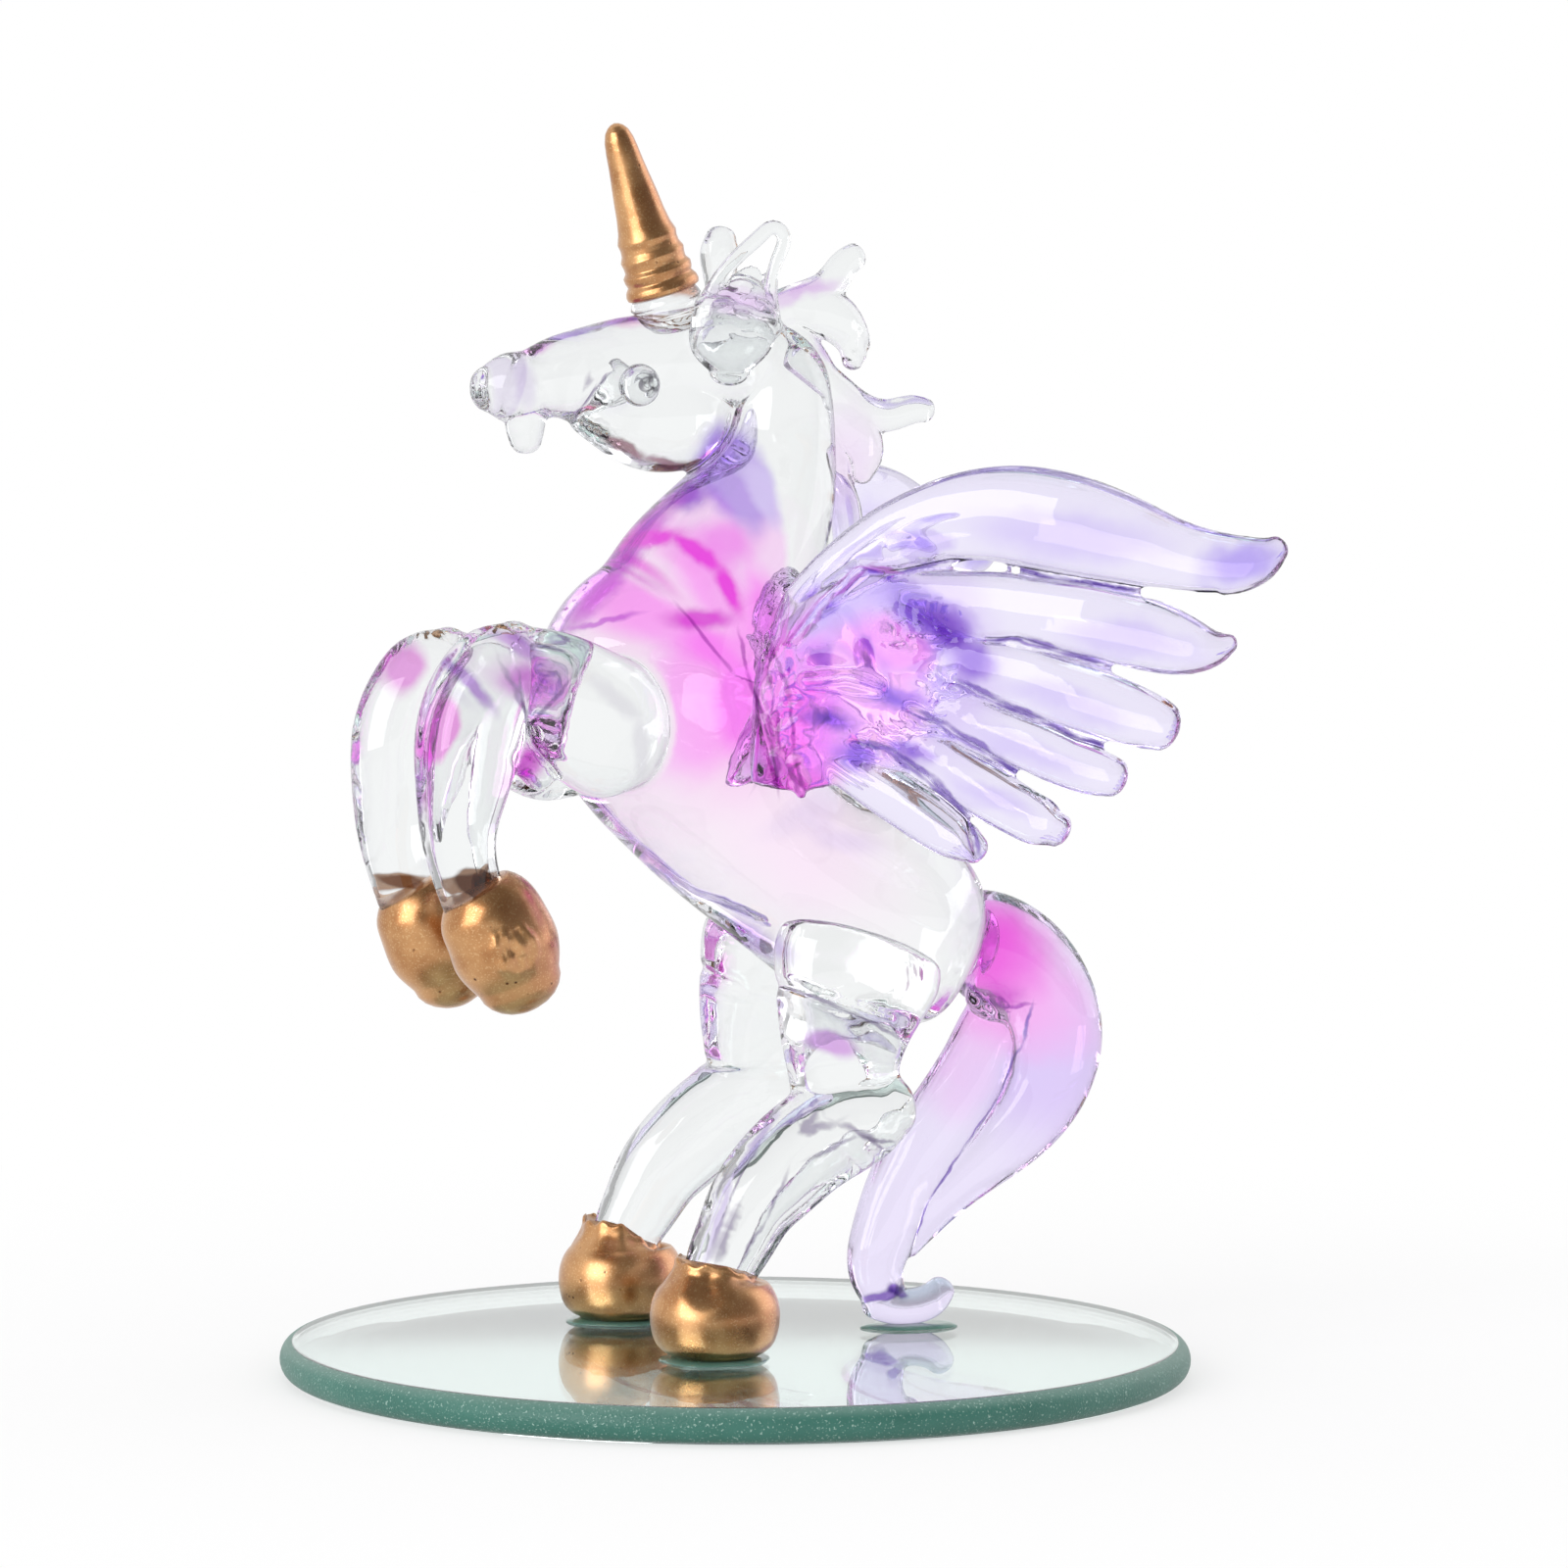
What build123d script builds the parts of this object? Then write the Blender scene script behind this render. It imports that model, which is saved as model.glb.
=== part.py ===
# Winged unicorn figurine of drawn glass, rearing on its hind legs on a round mirror.
# Millimetres, +Z up. The figure faces -X, so its left side is -Y.
# The origin is the centre of the mirror's underside.
from build123d import *
import os
from math import cos, radians, sin

os.makedirs("parts", exist_ok=True)

# Mirror that carries the figure
mirror_diameter = 76.0
mirror_thickness = 3.0
mirror_edge_rounding = 1.15
mirror_backing_thickness = 0.2

# Where the figure stands on the mirror
figure_offset = 0.8
stance_forward = 5.8
stance_half_width = 11.8
adhesive_thickness = 0.35
adhesive_overhang = 0.8

# Hind legs
hind_hoof_diameter = 10.4
hind_hoof_height = 7.6
hind_sole_diameter = 7.4
shank_length = 20.0
shank_width = 8.6
thigh_length = 17.0
thigh_width = 14.4
hip_half_width = 5.0

# Body and neck
body_length = 33.0
body_width = 18.0
neck_length = 30.0
neck_width = 17.0

# Head
head_length = 24.0
head_depth = 8.0
muzzle_diameter = 5.8
lip_length = 5.4
lip_width = 3.4
jaw_depth = 9.6
jaw_lip_gap = 1.7
eye_diameter = 3.2
horn_length = 14.3
horn_diameter = 6.2
horn_base_height = 3.0
horn_lean_degrees = 17.3
ear_length = 8.0
ear_width = 6.2
ear_wall = 0.9
ear_pad_length = 8.0
ear_pad_width = 7.4
paddle_ear_length = 9.6
paddle_ear_width = 3.2
ear_half_spacing = 3.4

# Mane
crest_length = 17.0
crest_width = 3.0
lock_length = 9.0
lock_width = 3.5
curl_length = 8.0
curl_width = 4.4

# Forelegs
shoulder_half_width = 5.0
foreleg_half_width = 9.0
upper_arm_length = 16.0
upper_arm_width = 12.0
forearm_length = 20.0
forearm_width = 8.8
fore_hoof_length = 10.5
fore_hoof_width = 9.0
right_foreleg_drop = 1.1

# Wings
wing_span = 42.0
wing_sweep_degrees = 35.0
feather_width = 8.6
palm_width = 17.6

# Tail
tail_bow = 10.0
tail_width = 9.6
tail_strand_width = 6.4
tail_foot_length = 6.6
tail_foot_width = 3.2

# Heights and planes that the sizes above fix
sole_height = mirror_thickness + adhesive_thickness
figure_plane = Plane.XZ.offset(-figure_offset)


def draw_glass(line, widths, depth_share, across=Vector(0, 1, 0)):
    """Adds glass drawn along a line of points to the open part.

    An oval stands square to the line at each point. It is as wide as the widths say, square to
    the across direction, and depth_share of that along it. The glass is lofted through the ovals.
    """
    ovals = []
    for number, point in enumerate(line):
        before = line[max(number - 1, 0)]
        after = line[min(number + 1, len(line) - 1)]
        heading = (after - before).normalized()
        outward = heading.cross(across).normalized()
        with BuildSketch(Plane(origin=point, x_dir=outward, z_dir=heading)) as oval:
            Ellipse(widths[number] / 2, widths[number] / 2 * depth_share)
        ovals.append(oval.sketch)
    loft(ovals)


def cut_by(*neighbours):
    """Ends the open part face to face on the pieces that it is welded to."""
    for neighbour in neighbours:
        add(neighbour.part, mode=Mode.SUBTRACT)


def middle_line(start, length, shares):
    """Points in the figure's middle plane, from shares of a length behind and above a start."""
    return [start + Vector(back, 0, up) * length for back, up, width in shares]


def side_line(start, length, shares, near, far):
    """Points on the figure's left, each also some share of the way out from near to far."""
    points = []
    for back, up, outward, width in shares:
        reach = near + (far - near) * outward
        points.append(start + Vector(back * length, -reach, up * length))
    return points


def widths_of(shares, width):
    """The last share in each row, as a real width."""
    return [row[-1] * width for row in shares]


def write_side(piece, name, side):
    """Labels and writes a piece that is made on the left, turned over where it belongs on the right."""
    with BuildPart() as placed:
        if side == "left":
            add(piece.part)
        else:
            mirror(piece.part, about=figure_plane)
    placed.part.label = f"{name}_{side}"
    export_step(placed.part, f"parts/{name}_{side}.step")


# Mirror glass: a disc with a rounded pencil edge
mirror_flat_radius = mirror_diameter / 2 - mirror_edge_rounding
with BuildPart() as mirror_glass:
    with BuildSketch(Plane.XZ):
        with BuildLine():
            Polyline(
                (mirror_flat_radius, mirror_backing_thickness),
                (0, mirror_backing_thickness),
                (0, mirror_thickness),
                (mirror_flat_radius, mirror_thickness),
            )
            ThreePointArc(
                (mirror_flat_radius, mirror_thickness),
                (mirror_diameter / 2, (mirror_thickness + mirror_backing_thickness) / 2),
                (mirror_flat_radius, mirror_backing_thickness),
            )
        make_face()
    revolve(axis=Axis.Z)
mirror_glass.part.label = "mirror_glass"
export_step(mirror_glass.part, "parts/mirror_glass.step")

# Silver and its protective paint, on the back of the glass
with BuildPart() as mirror_backing:
    with BuildSketch(Plane.XY):
        Circle(mirror_flat_radius)
    extrude(amount=mirror_backing_thickness)
mirror_backing.part.label = "mirror_backing"
export_step(mirror_backing.part, "parts/mirror_backing.step")

# Shanks: from inside the hoof back and up to the hock
hind_foot = Vector(-stance_forward, figure_offset, sole_height)
pastern = hind_foot + Vector(0, 0, hind_hoof_height)
shank_shares = [
    (0.015, -0.15, 1.0, 0.64),
    (0.025, -0.03, 1.0, 0.71),
    (0.09, 0.105, 0.98, 0.80),
    (0.165, 0.23, 0.96, 0.88),
    (0.275, 0.35, 0.93, 0.96),
    (0.395, 0.445, 0.90, 1.0),
    (0.55, 0.53, 0.86, 1.01),
    (0.70, 0.585, 0.83, 0.88),
    (0.80, 0.62, 0.81, 0.62),
    (0.855, 0.63, 0.80, 0.28),
]
with BuildPart() as shank:
    draw_glass(
        side_line(pastern, shank_length, shank_shares, hip_half_width, stance_half_width),
        widths_of(shank_shares, shank_width),
        depth_share=0.82,
    )

# Hind hooves: squat balls of gilded glass with a flat sole, round the end of the shank
hoof_centre = hind_foot - Vector(0, stance_half_width, 0)
hoof_plane = Plane(origin=hoof_centre, x_dir=(1, 0, 0), z_dir=(0, -1, 0))
hoof_profile_shares = [(0.88, 0.10), (0.97, 0.24), (1.0, 0.44), (0.95, 0.66), (0.80, 0.85), (0.50, 0.97)]
with BuildPart() as hind_hoof:
    with BuildSketch(hoof_plane):
        with BuildLine():
            hoof_side = [
                (radius * hind_hoof_diameter / 2, height * hind_hoof_height)
                for radius, height in hoof_profile_shares
            ]
            sole_edge = (hind_sole_diameter / 2, 0)
            Spline(sole_edge, *hoof_side, (0, hind_hoof_height))
            Polyline((0, hind_hoof_height), (0, 0), sole_edge)
        make_face()
    revolve(axis=Axis(hoof_centre, hoof_plane.y_dir))
    cut_by(shank)

# Adhesive: a clear pad that runs out a little round each hind sole
with BuildPart() as hoof_adhesive:
    with BuildSketch(hoof_plane):
        with BuildLine():
            pad_radius = hind_sole_diameter / 2 + adhesive_overhang
            Polyline(
                (0, 0),
                (hind_sole_diameter / 2, 0),
                (pad_radius, -adhesive_thickness),
                (0, -adhesive_thickness),
                close=True,
            )
        make_face()
    revolve(axis=Axis(hoof_centre, hoof_plane.y_dir))

# Body and neck: one rod, which swells at the rump and the chest and thins to the throat
hock = pastern + Vector(0.60, 0, 0.55) * shank_length
hip = hock + Vector(0.08, 0, 1.0) * thigh_length
torso_shares = [
    (0.415, -0.11, 0.33),
    (0.38, -0.10, 0.61),
    (0.30, -0.08, 0.87),
    (0.18, -0.035, 0.99),
    (0.01, 0.06, 0.93),
    (-0.17, 0.18, 0.87),
    (-0.32, 0.33, 0.94),
    (-0.41, 0.455, 1.03),
    (-0.45, 0.58, 1.07),
]
chest = hip + Vector(-0.45, 0, 0.58) * body_length
neck_shares = [
    (0.075, 0.11, 1.04),
    (0.165, 0.24, 1.0),
    (0.265, 0.395, 0.86),
    (0.345, 0.555, 0.68),
    (0.38, 0.70, 0.54),
    (0.38, 0.815, 0.47),
    (0.355, 0.90, 0.36),
    (0.33, 0.96, 0.20),
    (0.32, 0.98, 0.08),
]
trunk_line = middle_line(hip, body_length, torso_shares) + middle_line(chest, neck_length, neck_shares)
trunk_widths = widths_of(torso_shares, body_width) + widths_of(neck_shares, neck_width)
with BuildPart() as trunk:
    draw_glass(trunk_line, trunk_widths, depth_share=0.93)
collar_plane = Plane.XY.offset(chest.Z + 0.16 * neck_length)
with BuildPart() as torso:
    add(trunk.part)
    split(bisect_by=collar_plane, keep=Keep.BOTTOM)
torso.part.label = "torso"
export_step(torso.part, "parts/torso.step")
with BuildPart() as neck:
    add(trunk.part)
    split(bisect_by=collar_plane, keep=Keep.TOP)
neck.part.label = "neck"
export_step(neck.part, "parts/neck.step")

# Thighs: flattened gathers pressed onto the sides of the rump
thigh_shares = [
    (0.02, 0.03, 0.80, 0.58),
    (-0.01, 0.24, 0.76, 0.67),
    (0.0, 0.425, 0.70, 0.79),
    (0.04, 0.60, 0.62, 0.93),
    (0.09, 0.745, 0.54, 1.03),
    (0.115, 0.82, 0.48, 1.01),
    (0.13, 0.865, 0.44, 0.86),
]
with BuildPart() as thigh:
    draw_glass(
        side_line(hock, thigh_length, thigh_shares, hip_half_width, stance_half_width),
        widths_of(thigh_shares, thigh_width),
        depth_share=0.62,
    )
    cut_by(trunk, shank)

for side in ("left", "right"):
    write_side(hoof_adhesive, "adhesive_hind", side)
    write_side(hind_hoof, "hoof_hind", side)
    write_side(shank, "shank", side)
    write_side(thigh, "thigh", side)

# Head: a rod that points forward from the poll, and ends in the knob of the nose
poll = chest + Vector(0.325, 0, 0.88) * neck_length
head_shares = [
    (0.0, 0.0, 0.82),
    (-0.10, 0.002, 0.92),
    (-0.245, -0.01, 0.98),
    (-0.454, -0.012, 1.0),
    (-0.64, -0.04, 0.93),
    (-0.79, -0.07, 0.79),
]
muzzle_shares = [
    (-0.86, -0.086, 0.97),
    (-0.91, -0.094, 1.0),
    (-0.965, -0.10, 0.90),
    (-1.01, -0.104, 0.64),
    (-1.035, -0.107, 0.30),
]
with BuildPart() as face:
    draw_glass(
        middle_line(poll, head_length, head_shares + muzzle_shares),
        widths_of(head_shares, head_depth) + widths_of(muzzle_shares, muzzle_diameter),
        depth_share=0.92,
    )
nose_plane = Plane(origin=poll + Vector(-0.855, 0, -0.085) * head_length, z_dir=(-1, 0, 0))
with BuildPart() as head:
    add(face.part)
    split(bisect_by=nose_plane, keep=Keep.BOTTOM)
    cut_by(trunk)
head.part.label = "head"
export_step(head.part, "parts/head.step")
with BuildPart() as muzzle_tip:
    add(face.part)
    split(bisect_by=nose_plane, keep=Keep.TOP)
muzzle_tip.part.label = "muzzle_tip"
export_step(muzzle_tip.part, "parts/muzzle_tip.step")

# Jaw: a flattened drop of glass under the cheek, which ends a little behind the lower lip
jaw_hinge = poll + Vector(-0.15, 0, -0.14) * head_length
jaw_shares = [
    (-0.95, 0.02, 0.33),
    (-0.78, -0.035, 0.57),
    (-0.55, -0.075, 0.89),
    (-0.33, -0.075, 1.0),
    (-0.12, -0.03, 0.79),
    (0.01, 0.02, 0.42),
]
lip_root = poll + Vector(-0.865, 0, -0.115) * head_length
jaw_front = lip_root + Vector(lip_width / 2 + jaw_lip_gap, 0, 0)
jaw_length = (jaw_hinge.X - jaw_front.X) / 0.95
with BuildPart() as jaw:
    draw_glass(
        middle_line(jaw_hinge, jaw_length, jaw_shares),
        widths_of(jaw_shares, jaw_depth),
        depth_share=0.78,
    )
    cut_by(head, trunk)
jaw.part.label = "jaw"
export_step(jaw.part, "parts/jaw.step")

# Lower lip: a small drop that hangs behind the nose
lip_shares = [(0.0, 0.0, 0.8), (0.0, -0.2, 0.93), (0.0, -0.46, 1.0), (0.02, -0.78, 0.77), (0.03, -1.03, 0.33)]
with BuildPart() as lower_lip:
    draw_glass(
        middle_line(lip_root, lip_length, lip_shares),
        widths_of(lip_shares, lip_width),
        depth_share=1.0,
    )
    cut_by(face)
lower_lip.part.label = "lower_lip"
export_step(lower_lip.part, "parts/lower_lip.step")

# Eyes: a dot of glass pressed onto each cheek
eye_centre = poll + Vector(-0.51 * head_length, -0.38 * head_depth, -0.08 * head_length)
with BuildPart() as eye:
    with Locations(eye_centre):
        Sphere(eye_diameter / 2)
    cut_by(head, jaw)
for side in ("left", "right"):
    write_side(eye, "eye", side)

# Horn: a ringed cone over a clear collar that grows out of the forehead
horn_lean = radians(horn_lean_degrees)
horn_foot = poll + Vector(-0.331, 0, 0.12) * head_length
horn_plane = Plane(origin=horn_foot, x_dir=(cos(horn_lean), 0, sin(horn_lean)), z_dir=(0, -1, 0))
horn_axis = Axis(horn_foot, horn_plane.y_dir)
horn_collar_shares = [(0.92, -0.3), (0.98, 0.2), (1.04, 0.45), (0.95, 0.65), (1.02, 0.85)]
horn_ring_shares = [
    (0.92, 0.05),
    (0.97, 0.09),
    (0.86, 0.13),
    (0.92, 0.17),
    (0.82, 0.22),
    (0.87, 0.26),
    (0.77, 0.31),
    (0.81, 0.36),
    (0.70, 0.43),
    (0.58, 0.60),
    (0.48, 0.76),
    (0.42, 0.88),
    (0.34, 0.95),
    (0.20, 0.99),
]
with BuildPart() as horn_base:
    with BuildSketch(horn_plane):
        with BuildLine():
            collar_points = [
                (radius * horn_diameter / 2, height * horn_base_height)
                for radius, height in horn_collar_shares
            ]
            collar_top = (horn_diameter / 2, horn_base_height)
            collar_side = Spline(*collar_points, collar_top)
            Polyline(collar_top, (0, horn_base_height), (0, collar_points[0][1]), collar_points[0])
        make_face()
    revolve(axis=horn_axis)
    cut_by(head)
horn_base.part.label = "horn_base"
export_step(horn_base.part, "parts/horn_base.step")

with BuildPart() as horn:
    with BuildSketch(horn_plane):
        with BuildLine():
            ring_points = [
                (radius * horn_diameter / 2, horn_base_height + height * horn_length)
                for radius, height in horn_ring_shares
            ]
            horn_edge = (horn_diameter / 2, horn_base_height)
            horn_tip = (0, horn_base_height + horn_length)
            Spline(horn_edge, *ring_points, horn_tip)
            Polyline(horn_tip, (0, horn_base_height), horn_edge)
        make_face()
    revolve(axis=horn_axis)
horn.part.label = "horn"
export_step(horn.part, "parts/horn.step")

# Left ear: a flattened pad on the cheek, and a folded cup that stands on it
ear_pad_root = poll + Vector(-0.18 * head_length, -ear_half_spacing, -0.06 * head_length)
ear_pad_shares = [
    (0.0, 0.11, 0.01, 0.46),
    (-0.01, 0.25, 0.035, 0.84),
    (0.01, 0.46, 0.06, 1.0),
    (0.10, 0.70, 0.08, 0.86),
    (0.17, 0.92, 0.08, 0.50),
]
with BuildPart() as ear_pad_left:
    draw_glass(
        side_line(ear_pad_root, ear_pad_length, ear_pad_shares, 0, ear_pad_length),
        widths_of(ear_pad_shares, ear_pad_width),
        depth_share=0.5,
    )
    cut_by(head, trunk, jaw, horn_base)
ear_pad_left.part.label = "ear_pad_left"
export_step(ear_pad_left.part, "parts/ear_pad_left.step")

ear_root = ear_pad_root + Vector(0.13 * ear_pad_length, -0.06 * ear_pad_length, 0.72 * ear_pad_length)
ear_shares = [
    (0.0, 0.0, 0.0, 0.90),
    (0.07, 0.29, 0.02, 1.0),
    (0.15, 0.55, 0.04, 0.76),
    (0.22, 0.79, 0.05, 0.48),
    (0.25, 0.90, 0.05, 0.24),
]
ear_hollow_shares = [(0.11, 0.21, 0.70), (0.11, 0.33, 0.68), (0.16, 0.55, 0.44), (0.205, 0.735, 0.18)]
hollow_root = ear_root - Vector(0, ear_width / 4 + ear_wall, 0)
with BuildPart() as ear_hollow:
    draw_glass(
        middle_line(hollow_root, ear_length, ear_hollow_shares),
        widths_of(ear_hollow_shares, ear_width),
        depth_share=1.0,
    )
with BuildPart() as ear_left:
    draw_glass(
        side_line(ear_root, ear_length, ear_shares, 0, ear_length),
        widths_of(ear_shares, ear_width),
        depth_share=0.5,
    )
    cut_by(ear_hollow, ear_pad_left, head, trunk, horn_base)
ear_left.part.label = "ear_left"
export_step(ear_left.part, "parts/ear_left.step")

# Right ear: a plain paddle
paddle_root = poll + Vector(-0.11 * head_length, ear_half_spacing * 0.8, 0.06 * head_length)
paddle_shares = [
    (0.0, 0.0, 0.78),
    (-0.01, 0.35, 0.78),
    (-0.02, 0.62, 0.95),
    (-0.02, 0.85, 1.0),
    (-0.01, 0.98, 0.5),
]
with BuildPart() as ear_right:
    draw_glass(
        middle_line(paddle_root, paddle_ear_length, paddle_shares),
        widths_of(paddle_shares, paddle_ear_width),
        depth_share=0.7,
    )
    cut_by(head, trunk, horn_base)
ear_right.part.label = "ear_right"
export_step(ear_right.part, "parts/ear_right.step")

# Mane: a crest down the back of the neck, and curled locks pulled out of it
crest_shares = [
    (0.12, 0.18, 0.67),
    (0.24, 0.02, 1.0),
    (0.335, -0.19, 1.07),
    (0.36, -0.43, 1.07),
    (0.35, -0.63, 1.0),
    (0.31, -0.79, 0.53),
]
with BuildPart() as mane_crest:
    draw_glass(
        middle_line(poll, crest_length, crest_shares),
        widths_of(crest_shares, crest_width),
        depth_share=0.8,
    )
    cut_by(trunk, head)
mane_crest.part.label = "mane_crest"
export_step(mane_crest.part, "parts/mane_crest.step")

lock_roots = {
    "upper": poll + Vector(0.07, 0, 0.22) * crest_length,
    "middle": poll + Vector(0.22, 0, -0.02) * crest_length,
    "lower": poll + Vector(0.33, 0, -0.46) * crest_length,
}
lock_shares = {
    "upper": [
        (-0.07, 0.0, 1.06),
        (0.26, 0.13, 1.0),
        (0.52, 0.27, 0.88),
        (0.66, 0.47, 0.73),
        (0.80, 0.57, 0.62),
        (0.89, 0.58, 0.32),
    ],
    "middle": [
        (-0.08, 0.07, 1.0),
        (0.20, -0.20, 1.05),
        (0.51, -0.42, 1.0),
        (0.82, -0.46, 0.80),
        (1.11, -0.41, 0.70),
        (1.28, -0.44, 0.36),
    ],
    "lower": [
        (-0.02, 0.01, 0.81),
        (0.08, -0.34, 1.06),
        (0.16, -0.68, 1.12),
        (0.10, -0.99, 0.81),
        (-0.01, -1.19, 0.38),
    ],
}
curl_shares = {
    "upper": [
        (0.19, 0.075, 0.81),
        (0.51, 0.05, 1.0),
        (0.74, -0.10, 0.86),
        (0.85, -0.325, 0.62),
        (0.84, -0.525, 0.29),
    ],
    "middle": [
        (0.20, -0.34, 0.70),
        (0.36, -0.50, 0.90),
        (0.53, -0.68, 1.0),
        (0.65, -0.95, 0.81),
        (0.625, -1.20, 0.38),
    ],
}
mane_lines = [
    (f"mane_lock_{place}", lock_roots[place], lock_length, lock_width, shares)
    for place, shares in lock_shares.items()
] + [
    (f"mane_curl_{place}", lock_roots[place], curl_length, curl_width, shares)
    for place, shares in curl_shares.items()
]
welded_before = [trunk, head, mane_crest]
for name, root, length, width, shares in mane_lines:
    with BuildPart() as whole_gather:
        draw_glass(middle_line(root, length, shares), widths_of(shares, width), depth_share=0.75)
    with BuildPart() as mane_gather:
        add(whole_gather.part)
        cut_by(*welded_before)
    welded_before.append(whole_gather)
    mane_gather.part.label = name
    export_step(mane_gather.part, f"parts/{name}.step")

# Forelegs: an upper arm welded to the side of the chest, a forearm and a tilted hoof
upper_arm_shares = [
    (-0.12, 0.04, 0.15, 0.72),
    (-0.20, 0.075, 0.38, 0.88),
    (-0.34, 0.14, 0.66, 0.97),
    (-0.53, 0.27, 0.92, 0.87),
    (-0.72, 0.40, 1.0, 0.70),
    (-0.85, 0.475, 1.0, 0.53),
    (-0.93, 0.52, 1.0, 0.25),
]
forearm_shares = [
    (0.05, 0.06, 1.0, 0.48),
    (-0.01, -0.005, 1.0, 0.80),
    (-0.10, -0.125, 1.0, 0.98),
    (-0.175, -0.305, 1.0, 1.0),
    (-0.20, -0.505, 1.0, 0.91),
    (-0.215, -0.685, 1.0, 0.75),
    (-0.19, -0.865, 1.0, 0.64),
    (-0.14, -1.015, 1.0, 0.61),
]
fore_hoof_shares = [
    (0.03, 0.08, 1.0, 0.66),
    (0.095, -0.075, 1.0, 0.82),
    (0.21, -0.305, 1.0, 0.99),
    (0.315, -0.535, 1.0, 1.0),
    (0.405, -0.735, 1.0, 0.80),
    (0.445, -0.825, 1.0, 0.64),
    (0.472, -0.885, 1.0, 0.42),
    (0.485, -0.912, 1.0, 0.22),
]
for side, drop in (("left", 0), ("right", right_foreleg_drop)):
    shoulder = hip + Vector(-0.49, 0, 0.41) * body_length - Vector(0, 0, drop)
    knee = shoulder + Vector(-0.87, 0, 0.505) * upper_arm_length
    fetlock = knee + Vector(-0.175, 0, -0.925) * forearm_length
    with BuildPart() as forearm:
        draw_glass(
            side_line(knee, forearm_length, forearm_shares, shoulder_half_width, foreleg_half_width),
            widths_of(forearm_shares, forearm_width),
            depth_share=0.8,
        )
    with BuildPart() as upper_arm:
        draw_glass(
            side_line(shoulder, upper_arm_length, upper_arm_shares, shoulder_half_width, foreleg_half_width),
            widths_of(upper_arm_shares, upper_arm_width),
            depth_share=0.72,
        )
        cut_by(trunk, forearm)
    with BuildPart() as fore_hoof:
        draw_glass(
            side_line(fetlock, fore_hoof_length, fore_hoof_shares, shoulder_half_width, foreleg_half_width),
            widths_of(fore_hoof_shares, fore_hoof_width),
            depth_share=0.9,
        )
        cut_by(forearm)
    write_side(forearm, "foreleg_lower", side)
    write_side(upper_arm, "foreleg_upper", side)
    write_side(fore_hoof, "hoof_fore", side)

# Wings: a thin palm with six fat feathers pressed into it, in one upright plane that sweeps back
wing_sweep = radians(wing_sweep_degrees)
wing_root = chest + Vector(0.275 * body_length, -0.35 * body_width, -0.085 * body_length)
wing_plane = Plane(
    origin=wing_root,
    x_dir=(cos(wing_sweep), -sin(wing_sweep), 0),
    z_dir=(-sin(wing_sweep), -cos(wing_sweep), 0),
)
leading_feather_shares = [
    (-0.02, 0.09, 0.30),
    (0.02, 0.17, 0.46),
    (0.09, 0.25, 0.58),
    (0.18, 0.32, 0.68),
    (0.29, 0.37, 0.80),
    (0.42, 0.395, 0.93),
    (0.55, 0.38, 1.0),
    (0.69, 0.345, 0.86),
    (0.82, 0.312, 0.66),
    (0.92, 0.307, 0.53),
    (0.97, 0.325, 0.36),
    (0.99, 0.34, 0.16),
]
palm_shares = [
    (-0.11, 0.0, 0.66),
    (0.0, 0.0, 0.70),
    (0.10, 0.05, 0.90),
    (0.19, 0.09, 1.0),
    (0.29, 0.13, 0.90),
    (0.38, 0.16, 0.55),
    (0.44, 0.175, 0.20),
]
feather_rows_shares = [
    (0.26, 0.23, 0.905, 0.14, 0.012, 0.76),
    (0.24, 0.13, 0.795, -0.024, 0.016, 0.67),
    (0.226, 0.055, 0.698, -0.121, -0.003, 0.535),
    (0.19, -0.002, 0.583, -0.226, -0.01, 0.535),
    (0.083, -0.074, 0.414, -0.269, 0.005, 0.51),
]
feather_depth_share = 0.58
palm_depth_share = 0.18
feather_taper_shares = [
    (0.0, 0.50),
    (0.15, 0.76),
    (0.35, 0.94),
    (0.55, 1.0),
    (0.75, 0.97),
    (0.88, 0.80),
    (0.96, 0.50),
    (1.0, 0.20),
]


def in_wing(out, up):
    """A point of the left wing's plane, from shares of the wing's span out from and above its root."""
    return wing_plane.from_local_coords(Vector(out * wing_span, up * wing_span, 0))


feather_lines = [([(out, up) for out, up, width in leading_feather_shares], leading_feather_shares, 1.0)]
for root_out, root_up, tip_out, tip_up, bow, full_width in feather_rows_shares:
    line = [
        (
            root_out + (tip_out - root_out) * along,
            root_up + (tip_up - root_up) * along + bow * 4 * along * (1 - along),
        )
        for along, width in feather_taper_shares
    ]
    feather_lines.append((line, feather_taper_shares, full_width))
whole_feathers = []
welded_feathers = []
for line, taper_shares, full_width in feather_lines:
    with BuildPart() as whole_feather:
        draw_glass(
            [in_wing(out, up) for out, up in line],
            widths_of(taper_shares, full_width * feather_width),
            depth_share=feather_depth_share,
            across=wing_plane.z_dir,
        )
    with BuildPart() as feather:
        add(whole_feather.part)
        cut_by(trunk, *whole_feathers[-1:])
    whole_feathers.append(whole_feather)
    welded_feathers.append(feather)
with BuildPart() as palm:
    draw_glass(
        [in_wing(out, up) for out, up, width in palm_shares],
        widths_of(palm_shares, palm_width),
        depth_share=palm_depth_share,
        across=wing_plane.z_dir,
    )
    cut_by(torso, *whole_feathers)
for side in ("left", "right"):
    write_side(palm, "wing_palm", side)
    for number, feather in enumerate(welded_feathers, start=1):
        write_side(feather, f"wing_feather_{number}", side)

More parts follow.
